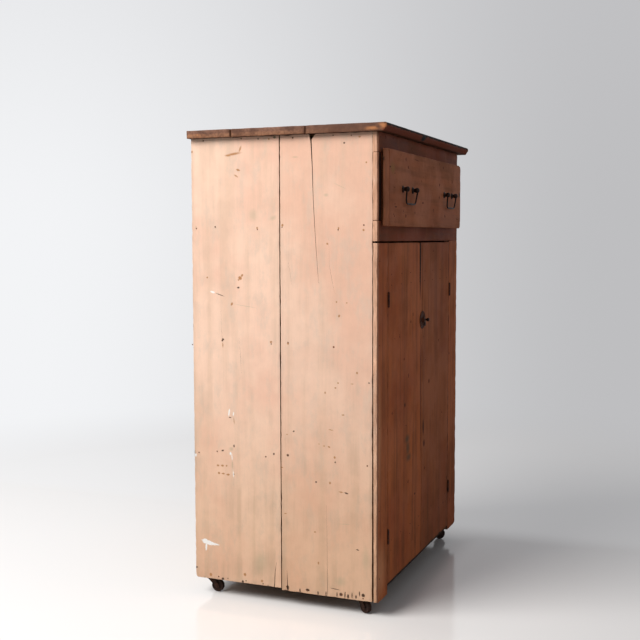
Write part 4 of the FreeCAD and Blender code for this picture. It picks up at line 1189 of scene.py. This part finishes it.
SIDE_CRACKS = {
    "left_side_front_board": (
        Crack("notch_split", ((310.6, 131.5), (310.8, 137), (311.6, 152), (312.2, 166), (313.2, 200),
                              (315.5, 240.5), (317.8, 272.7), (318.8, 284)),
              (6.0, 3.6, 2.6, 2.0, 1.4, 1.0, 0.7, 0.2), 12.0),
        Crack("shake_upper", ((328.6, 237), (329.3, 265.5), (332.4, 282), (335, 294.6)), (0.1, 0.3, 0.3, 0.1), 3.0),
        Crack("shake_lower", ((326.5, 505), (327, 540), (327.4, 570), (327.6, 596)), (0.2, 0.5, 0.6, 1.0), 5.0),
        Crack("check_upper", ((288.4, 262), (290.2, 274), (291.5, 285)), (0.1, 0.35, 0.1), 3.0),
        Crack("check_foot", ((286.9, 570), (287.4, 580), (287.9, 594)), (0.4, 1.6, 2.6), 6.0),
    ),
    "left_side_rear_board": (
        Crack("shake_hole", ((221, 309), (221.3, 330), (222.6, 341)), (0.1, 0.4, 0.5), 3.0),
        Crack("shake_middle", ((239.3, 337), (240.5, 357), (241.6, 375)), (0.1, 0.4, 0.1), 3.0),
        Crack("check_rear_foot", ((276.4, 562), (275.2, 572), (274.3, 592)), (0.4, 1.6, 2.2), 6.0),
    ),
}
# Painted shade: the front face of the front bottom board takes the near-black wood of the splits, for the shade that it
# stands in.
DARK_FACES = {"bottom_board_front": {"-y": "crack"}}


class Joinery:
    """Every board of the cabinet, with the splits that its left side has."""

    def __init__(self, shop: Shop) -> None:
        """Lists the boards."""
        self.shop = shop
        wall = {"step": 12 * MM, "knocks": 0.8 * MM, "arris": 0.5 * MM}
        sides = {"-x": "edge", "+x": "edge", "+y": "pine_up"}
        ends = {"+y": "pine_x", "-x": "drawer_end", "+x": "drawer_end"}
        self.boards = [
            Board(f"{side}_board", "cabinet", "side_paint", "pine_up", faces, reach=reach, **wall)
            for side, faces, reach in (
                ("left_side_front", {"-x": "left_front"}, 0.8 * MM),
                ("left_side_rear", {"-x": "left_rear", "+y": "side"}, -0.8 * MM),
                ("right_side_front", {"+x": "side"}, 0.0),
                ("right_side_rear", {"+x": "side", "+y": "side"}, 0.0),
            )
        ]
        self.boards += [
            Board(f"top_board_{part}", "cabinet", "stained_top", "top", knocks=0.7 * MM, step=step)
            for part, step in (("front", 14 * MM), ("middle", 20 * MM), ("back", 20 * MM))
        ]
        self.boards += [
            Board(node, body, "front_paint", finish, faces, step=14 * MM)
            for node, body, finish, faces in (
                ("top_rail", "cabinet", "front_level", sides),
                ("middle_rail", "cabinet", "front_level", sides),
                ("drawer_stile_left", "cabinet", "drawer_stile", sides),
                ("drawer_stile_right", "cabinet", "front_up", sides),
                ("door_stile_left", "cabinet", "door_stile", sides),
                ("door_stile_right", "cabinet", "front_up", sides),
                ("left_door_panel", "left_door", "door_left", {"+y": "pine_up"}),
                ("right_door_panel", "right_door", "door_right", {"+y": "pine_up"}),
                ("drawer_front", "drawer", "drawer", ends),
            )
        ]
        self.boards += [
            Board(node, body, "bare_pine", finish, DARK_FACES.get(node, {}), knocks=0.6 * MM, step=50 * MM)
            for body, finish, nodes in (
                ("cabinet", "pine_y", "top_battens"),
                ("cabinet", "pine_x", "shelf_lower shelf_upper"),
                ("cabinet", "pine_y", "shelf_cleats"),
                ("cabinet", "pine_x", "bottom_board_front bottom_board_back"),
                ("drawer", "pine_y", "drawer_side_left drawer_side_right"),
                ("drawer", "pine_x", "drawer_back drawer_bottom"),
                ("cabinet", "pine_y", "drawer_runner_left drawer_runner_right"),
                ("left_door", "pine_x", "left_door_ledges"),
                ("right_door", "pine_x", "right_door_ledges"),
            )
            for node in nodes.split()
        ]
        self.boards += [
            Board(f"back_board_{side}", "cabinet", "bare_pine", "pine_up", knocks=0.4 * MM)
            for side in ("left", "middle", "right")
        ]

    def build(self) -> None:
        """Makes the boards and splits those of the left side."""
        for number, board in enumerate(self.boards, 1):
            piece = board.build(self.shop, number)
            for crack in SIDE_CRACKS.get(board.node, ()):
                self.split(piece, crack.cutter(self.shop))

    @staticmethod
    def split(piece: bpy.types.Object, cutter: bpy.types.Object) -> None:
        """Cuts a wedge out of a board for good."""
        boolean = piece.modifiers.new("split", "BOOLEAN")
        boolean.operation = "DIFFERENCE"
        boolean.solver = "EXACT"
        boolean.material_mode = "TRANSFER"
        boolean.object = cutter
        cut = piece.evaluated_get(bpy.context.evaluated_depsgraph_get())
        whole = piece.data
        piece.data = bpy.data.meshes.new_from_object(cut)
        piece.data.name = piece.name
        piece.data.set_sharp_from_angle(angle=math.radians(40))
        for face in piece.data.polygons:
            face.use_smooth = abs(face.normal.x) < 0.9
        piece.modifiers.clear()
        bpy.data.meshes.remove(whole)
        bpy.data.objects.remove(cutter)


# ------------------------------------------------------------------ nails
@dataclass
class Nails:
    """Wrought nail heads, driven nearly flush.

    Attributes:
        name: The piece's name.
        body: What it rides on.
        look: The way the heads face.
        spots: Where they are.
        radius: Of a head.
        depth: Height of a head, which stands half out.
    """

    name: str
    body: str
    look: Vector
    spots: Sequence[Vector]
    radius: float = 2.3 * MM
    depth: float = 1.1 * MM

    def build(self, shop: Shop) -> None:
        """Makes all the heads as one piece."""
        bm = bmesh.new()
        chance = random.Random(self.name)
        turn = self.look.to_track_quat("Z", "Y").to_matrix().to_4x4()
        for spot in self.spots:
            radius = self.radius * chance.uniform(0.75, 1.15)
            lean = Matrix.Rotation(chance.uniform(-0.12, 0.12), 4, "X")
            spun = Matrix.Rotation(chance.uniform(0, math.tau), 4, "Z")
            bmesh.ops.create_cone(
                bm, cap_ends=True, segments=8, radius1=radius, radius2=radius * 0.72, depth=self.depth,
                matrix=Matrix.Translation(spot) @ turn @ lean @ spun,
            )
        shop.fit(self.name, bm, "nail", self.body, "dark_iron", smooth=60.0)


CASE_ZERO = (424.0, 245.0, -45.0)  # the frame's origin, in the cabinet's own millimetres
FACE_X = (-0.1, 818.1)  # the middle of the nail heads on the left and the right side, in the same
FACE_Y = (-18.1, 544.1)  # on the face frame and the back
DRAWER_Y, TOP_Z = -41.6, 1291.2  # on the drawer and the top


def at(x: float, y: float, z: float) -> Vector:
    """A point from the cabinet's own millimetres: left side, front of the sides, foot of the sides."""
    return Vector([value - zero for value, zero in zip((x, y, z), CASE_ZERO)]) * MM


SIDE_NAILS = (
    (530, 1018), (470, 1022), (338, 1014), (263, 1020), (98, 1012), (25, 1024), (547, 685), (451, 700),
    (298, 696), (247, 702), (111, 694), (471, 380), (317, 376), (249, 385), (14, 374), (530, 372), (382, 10),
    (328, 8), (255, 9), (191, 6), (89, 8), (26, 4), (505, 1264), (386, 1266), (334, 1263), (230, 1262),
    (60, 1262), (112, 1264), (470, 12), (440, 10),
)


@dataclass
class Fastenings:
    """The nails of the case, the frame, the top, the doors and the back."""

    shop: Shop

    def build(self) -> None:
        """Drives every nail."""
        chance = random.Random(7)

        def near(value: float, by: float = 4.0) -> float:
            return value + chance.uniform(-by, by)

        left = [at(FACE_X[0], y, z) for y, z in SIDE_NAILS]
        right = [at(FACE_X[1], near(y, 12), near(z)) for y, z in SIDE_NAILS]
        rail = [at(near(x), FACE_Y[0], near(z)) for z in (1258, 1228, 1024, 992) for x in (10, 808)]
        heights = (60, 250, 480, 700, 930, 1070, 1190)
        stile = [at(near(x, 2), FACE_Y[0], near(z)) for x in (9, 808) for z in heights]
        back = [at(near(x), FACE_Y[1], near(z)) for x in (32, 262, 290, 524, 550, 786) for z in (12, 407, 722, 1254)]
        top = [at(near(x), near(y), TOP_Z) for x in (10, 250, 500, 808) for y in (12, 60, 150, 220, 380, 430, 520)]
        drawer = [at(near(x, 3), DRAWER_Y, near(z)) for x in (62, 744) for z in (1046, 1082, 1122, 1166)]
        doors = {
            side: [at(near(x), FACE_Y[0], z + dz) for x in spots for z in (127, 874) for dz in (-14, 15)]
            for side, spots in (("left", (112, 200, 290, 384)), ("right", (436, 520, 610, 690)))
        }
        for nails in (
            Nails("left_side_nails", "cabinet", Vector((-1, 0, 0)), left),
            Nails("right_side_nails", "cabinet", Vector((1, 0, 0)), right),
            Nails("frame_nails", "cabinet", FRONTWARD, rail + stile, 1.9 * MM),
            Nails("back_nails", "cabinet", Vector((0, 1, 0)), back),
            Nails("top_nails", "cabinet", Vector((0, 0, 1)), top),
            Nails("drawer_nails", "drawer", FRONTWARD, drawer, 1.8 * MM),
            Nails("left_door_nails", "left_door", FRONTWARD, doors["left"], 1.8 * MM),
            Nails("right_door_nails", "right_door", FRONTWARD, doors["right"], 1.8 * MM),
        ):
            nails.build(self.shop)


# ------------------------------------------------------------------ hardware
def rounded(corners: Sequence[Vector], radii: Sequence[float], steps: int = 7) -> list[Vector]:
    """A path through corners, each rounded by an arc of the given radius."""
    path = [corners[0]]
    for before, corner, after, radius in zip(corners, corners[1:], corners[2:], radii):
        back, ahead = (before - corner).normalized(), (after - corner).normalized()
        half = back.angle(ahead) / 2
        centre = corner + (back + ahead).normalized() * (radius / math.sin(half))
        start = corner + back * (radius / math.tan(half)) - centre
        end = corner + ahead * (radius / math.tan(half)) - centre
        path += [centre + start.slerp(end, n / steps) * radius for n in range(steps + 1)]
    return path + [corners[-1]]


@dataclass
class Pulls:
    """The drawer's two bail pulls: turned posts and a forged swan-neck bail on each.

    Attributes:
        span: Post to post.
        eye: Half width of a post's eye.
        stand: Bail axis in front of the drawer.
        drop: Axis to the middle of the grip.
        lean: How far the grip leans back towards the drawer.
    """

    shop: Shop
    span: float = 92 * MM
    eye: float = 4.5 * MM
    stand: float = 14 * MM
    drop: float = 40 * MM
    lean: float = 5 * MM

    def post(self, foot: Vector) -> bmesh.types.BMesh:
        """A rosette, a waisted neck and a ball."""
        profile = ((0, 0), (9.5, 0), (9.5, 1.0), (8.8, 2.2), (6.8, 3.0), (5.6, 4.4), (5.2, 6.0), (5.8, 8.0),
                   (7.0, 10.2), (7.6, 13.2), (7.2, 16.2), (5.4, 18.6), (2.6, 19.8), (0, 20.0))
        return turned(profile, FRONTWARD, foot, 24)

    def bail(self, centre: Vector) -> bmesh.types.BMesh:
        """The bail: its ends come into the posts from outside, and its grip is the thickest."""
        leg = self.span / 2 + self.eye + 2.0 * MM
        half = [(self.span / 2 - self.eye - 1.5 * MM, 0.0), (leg, 0.0), (leg - 9 * MM, -self.drop)]
        lean = self.lean / self.drop
        corners = [centre + Vector((-x, -z * lean, z)) for x, z in half]
        corners += [centre + Vector((x, -z * lean, z)) for x, z in half[::-1]]
        path = rounded(corners, (2.2 * MM, 15 * MM, 15 * MM, 2.2 * MM))
        grown = [path[0]]
        for point in path[1:]:
            gap = point - grown[-1]
            count = max(1, round(gap.length / (3 * MM)))
            if gap.length > 0.05 * MM:
                grown += [grown[-1].lerp(point, n / count) for n in range(1, count)] + [point]
        radii = [
            (2.25 + 0.8 * max(0.0, 1 - abs(p.x - centre.x) / (34 * MM)) * (p.z < centre.z - 20 * MM)) * MM
            for p in grown
        ]
        radii = [sum(radii[max(0, i - 3): i + 4]) / len(radii[max(0, i - 3): i + 4]) for i in range(len(radii))]
        return swept(grown, radii)

    def build(self) -> None:
        """Makes both pulls."""
        level = (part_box("drawer_front")[0].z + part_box("drawer_front")[1].z) / 2
        posts = []
        for side in ("left", "right"):
            low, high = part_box(f"{side}_bail")
            middle = (low.x + high.x) / 2
            centre = Vector((middle, DRAWER_FACE_Y - self.stand, level))
            bail = self.bail(centre)
            self.shop.fit(f"{side}_bail_forged", bail, "iron", f"{side}_pull", "dark_iron", f"{side}_bail", smooth=50.0)
            posts += [self.post(Vector((middle + way * self.span / 2, DRAWER_FACE_Y, level))) for way in (-1, 1)]
        self.shop.fit("pull_posts_turned", joined(posts), "iron", "drawer", "dark_iron", "pull_posts", smooth=50.0)


@dataclass
class Latch:
    """The turn latch: a cast round plate in two halves, a knob and its tongue.

    Attributes:
        radius: Of the plate.
        edge: Each half stops this far from where the doors meet.
    """

    shop: Shop
    radius: float = 27 * MM
    edge: float = 1.4 * MM

    def half_plate(self, meeting: Vector, way: int) -> bmesh.types.BMesh:
        """One half, with a raised rim and a ring on its sunk field."""
        profile = ((0, 0.1), (27, 0.1), (27, 1.5), (26.1, 2.4), (24.6, 2.4), (23.6, 1.2), (18.5, 1.2), (17.6, 2.2),
                   (15.6, 2.2), (14.6, 1.2), (0, 1.2))
        bm = turned(profile, FRONTWARD, meeting, 48)
        cut = bmesh.ops.bisect_plane(
            bm, geom=[*bm.verts, *bm.edges, *bm.faces], dist=CUT, clear_outer=True,
            plane_co=meeting + Vector((way * self.edge, 0, 0)), plane_no=(-way, 0, 0),
        )["geom_cut"]
        bmesh.ops.holes_fill(bm, edges=[g for g in cut if isinstance(g, bmesh.types.BMEdge)])
        screws = []
        for angle in (38, 90, 142) if way > 0 else (-38, -90, -142):
            turn = math.radians(angle)
            spot = meeting + Vector((math.sin(turn), 0, math.cos(turn))) * (self.radius - 6 * MM)
            screws.append(self.screw(spot + Vector((0, -1.2 * MM, 0))))
        return joined([bm, *screws])

    @staticmethod
    def screw(foot: Vector) -> bmesh.types.BMesh:
        """A domed screw head."""
        profile = ((0, -0.4), (2.4, -0.4), (2.4, 0.3), (1.7, 0.9), (0.0, 1.15))
        return turned(profile, FRONTWARD, foot, 12)

    def build(self) -> None:
        """Makes both halves, the hook, the tongue and the knob."""
        plate_low, plate_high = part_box("latch_plate")
        meeting = Vector((plate_low.x - self.edge, FRAME_FACE_Y, (plate_low.z + plate_high.z) / 2))
        for node, body, way in (("latch_plate", "right_door", 1), ("latch_keeper", "left_door", -1)):
            cast = node_copy(node)
            outer = [f for f in cast.faces if max((v.co - meeting).length for v in f.verts) > self.radius * 0.9]
            bmesh.ops.delete(cast, geom=outer, context="FACES")
            inner = [f for f in cast.faces if f.calc_center_median().y > FRAME_FACE_Y - 2.2 * MM]
            bmesh.ops.delete(cast, geom=inner, context="FACES")
            hole = [e for e in cast.edges if e.is_boundary]
            bmesh.ops.holes_fill(cast, edges=hole)
            soften(cast, 0.5 * MM)
            whole = joined([self.half_plate(meeting, way), cast])
            self.shop.fit(node + "_cast", whole, "plate", body, "dark_iron", node)
        low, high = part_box("latch_knob")
        axis = Vector(((low.x + high.x) / 2, high.y, (low.z + high.z) / 2))
        length = (high.y - low.y) / MM
        profile = ((0, 0), (2.5, 0), (2.5, length - 10), (3.4, length - 9.4), (5.2, length - 6.6),
                   (5.6, length - 3.6), (5.0, length - 1.2), (3.2, length - 0.2), (0, length))
        knob = turned(profile, FRONTWARD, axis, 28)
        self.shop.fit("latch_knob_turned", knob, "iron", "knob", "dark_iron", "latch_knob", smooth=50.0)
        tongue = node_copy("latch_tongue")
        soften(tongue, 0.6 * MM)
        self.shop.fit("latch_tongue_filed", tongue, "iron", "knob", "dark_iron", "latch_tongue")


@dataclass
class Casters:
    """Four casters: softened forks, axles and plates, and turned wheels."""

    shop: Shop
    corners: tuple[str, ...] = ("front_left", "front_right", "rear_left", "rear_right")

    def wheel(self, node: str) -> bmesh.types.BMesh:
        """A wheel with a crowned tread, a sunk web and a hub, on the node's own axis."""
        joint = next(j for j in frame["joints"] if j["child"] == node.replace("_caster", ""))
        axis = Vector(joint["axis"])
        centre = Vector(joint["pos_m"])
        low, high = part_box(node)
        outline = ((3.05, -5.9), (6.4, -5.9), (7.0, -5.2), (8.0, -4.4), (14.2, -4.4), (15.2, -5.6), (17.2, -5.9),
                   (18.1, -5.0), (18.5, -2.4), (18.5, 2.4), (18.1, 5.0), (17.2, 5.9), (15.2, 5.6), (14.2, 4.4),
                   (8.0, 4.4), (7.0, 5.2), (6.4, 5.9), (3.05, 5.9), (3.05, -5.9))
        scale = (high.z - low.z) / 2 / (18.5 * MM)
        return turned([(r * scale, h) for r, h in outline], axis, centre, 40)

    def build(self) -> None:
        """Makes all four."""
        for corner in self.corners:
            for part, width in (("fork", 0.6 * MM), ("axle", 0.5 * MM)):
                node = f"{corner}_caster_{part}"
                bm = node_copy(node)
                soften(bm, width)
                self.shop.fit(node + "_worn", bm, "caster", f"{corner}_swivel", "caster_iron", node)
            node = f"{corner}_caster_wheel"
            self.shop.fit(node + "_turned", self.wheel(node), "wheel", f"{corner}_wheel", "caster_wheel", node)
        self.shop.cover(NODES["caster_plates"], "caster")


@dataclass
class Hinges:
    """Butt hinges: the leaves and pins keep their own shape."""

    shop: Shop
    nodes: tuple[str, ...] = ("stile_hinge_leaves", "hinge_pins", "left_door_hinge_leaves", "right_door_hinge_leaves")

    def build(self) -> None:
        """Gives them their finish."""
        for node in self.nodes:
            self.shop.cover(NODES[node], "plate")


# ------------------------------------------------------------------ studio
@dataclass
class Studio:
    """A pale floor, a pale surround and one large soft light from the left.

    Attributes:
        ambient: How bright the surround is as a light.
        key_power: Watts of the large light.
        key_place: Where it hangs.
        key_aim: What it is turned to.
        key_size: Its two sides.
        key_tint: Its colour.
        backdrop: The surround on the window's side.
        dim: The surround on the other side.
        ceiling: The surround overhead.
        window: Where the one side goes over into the other, along Y.
        spread: Half the side of the floor.
    """

    ambient: float = 0.24
    key_power: float = 385.0
    key_place: tuple[float, float, float] = (-3.2, 2.4, 4.2)
    key_aim: tuple[float, float, float] = (-0.2, 0.0, 0.6)
    key_size: tuple[float, float] = (3.6, 3.0)
    key_tint: tuple[float, float, float] = (1.0, 0.985, 0.965)
    backdrop: Colour = hue(243, 244, 246)
    dim: Colour = hue(190, 190, 192)
    ceiling: Colour = hue(200, 200, 203)
    window: tuple[float, float] = (0.1, 0.62)
    spread: float = 14.0

    def haze(self, tree: Tree, direction: Socket) -> Socket:
        """The pale surround as it looks along a direction: whiter on the window's side."""
        parts = tree.parts(direction)
        side = tree.band(parts["Y"], *self.window)
        level = tree.mix(side, self.dim, self.backdrop)
        return tree.over(level, self.ceiling, tree.band(parts["Z"], 0.0, 0.3), 0.3)

    def world(self) -> None:
        """The surround: pale where it is seen, and a weak even light to the rest."""
        world = bpy.data.worlds.new("studio")
        world.use_nodes = True
        tree = Tree(world.node_tree)
        path = tree.node("LightPath").outputs
        direct = tree.math("ADD", path["Is Camera Ray"], path["Is Transmission Ray"], clamp=True)
        direct = tree.math("ADD", direct, path["Is Glossy Ray"], clamp=True)
        colour = tree.mix(direct, hue(240, 243, 248), self.haze(tree, tree.node("TexCoord").outputs["Generated"]))
        strength = tree.between(direct, self.ambient, 1.0)
        back = tree.node("Background", Color=colour, Strength=strength)
        tree.feed(tree.node("OutputWorld").inputs["Surface"], back.outputs[0])
        bpy.context.scene.world = world

    def floor(self) -> None:
        """A large floor, paler to the eye than to the light, that fades into the surround."""
        bm = bmesh.new()
        bmesh.ops.create_grid(bm, x_segments=2, y_segments=2, size=self.spread)
        floor = new_object("floor", bm)
        tree = Surface("studio_floor")
        smear = tree.noise(tree.at, 2.0, 4.0)
        camera = tree.node("LightPath").outputs["Is Camera Ray"]
        shader = tree.node(
            "BsdfPrincipled", Base_Color=tree.mix(camera, hue(158, 156, 154), hue(245, 242, 240)),
            Roughness=tree.between(smear, 0.08, 0.17), Specular_IOR_Level=0.75,
        )
        sight = tree.vector("NORMALIZE", tree.vector("SUBTRACT", tree.at, LOOKOUT.place))
        glow = tree.node("Emission", Color=self.haze(tree, sight), Strength=1.0)
        distance = tree.vector("LENGTH", tree.at)
        # Painted light: besides the fade into the surround far off, the glow is raised a little near the cabinet, and
        # more in front of the doors and to its right, which lifts its cast shadow there.
        near = tree.times(tree.band(distance, 0.3, 1.1), 0.25)
        parts = tree.parts(tree.at)
        ahead = tree.times(tree.band(parts["Y"], -0.27, -0.36), 0.14)
        shade = tree.times(tree.band(parts["X"], 0.32, 0.6), 0.5)
        near = tree.most([near, ahead, shade])
        away = tree.math("MAXIMUM", tree.band(distance, 0.9, 3.4), near)
        blend = tree.node("MixShader", Fac=tree.times(away, camera))
        tree.feed(blend.inputs[1], shader.outputs[0])
        tree.feed(blend.inputs[2], glow.outputs[0])
        tree.feed(tree.node("OutputMaterial").inputs["Surface"], blend.outputs[0])
        floor.data.materials.append(tree.material)

    def light(self) -> None:
        """The large light, high on the left and a little behind."""
        data = bpy.data.lights.new("key", "AREA")
        data.shape = "RECTANGLE"
        data.size, data.size_y = self.key_size
        data.energy = self.key_power
        data.color = self.key_tint
        lamp = bpy.data.objects.new("key", data)
        lamp.visible_camera = False
        place = Vector(self.key_place)
        aim = Vector(self.key_aim) - place
        lamp.matrix_world = Matrix.Translation(place) @ aim.to_track_quat("-Z", "Y").to_matrix().to_4x4()
        bpy.context.scene.collection.objects.link(lamp)

    def build(self) -> None:
        """Sets the studio up."""
        bpy.context.scene.view_settings.view_transform = "Standard"
        self.world()
        self.floor()
        self.light()


def main() -> None:
    """Builds the cabinet's pieces in order, then the studio."""
    logging.basicConfig(level=logging.INFO, format="%(message)s")
    shop = Shop()
    LOOKOUT.build()
    Joinery(shop).build()
    Fastenings(shop).build()
    Pulls(shop).build()
    Latch(shop).build()
    Hinges(shop).build()
    Casters(shop).build()
    Studio().build()
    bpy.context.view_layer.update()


if __name__ == "__main__":
    main()
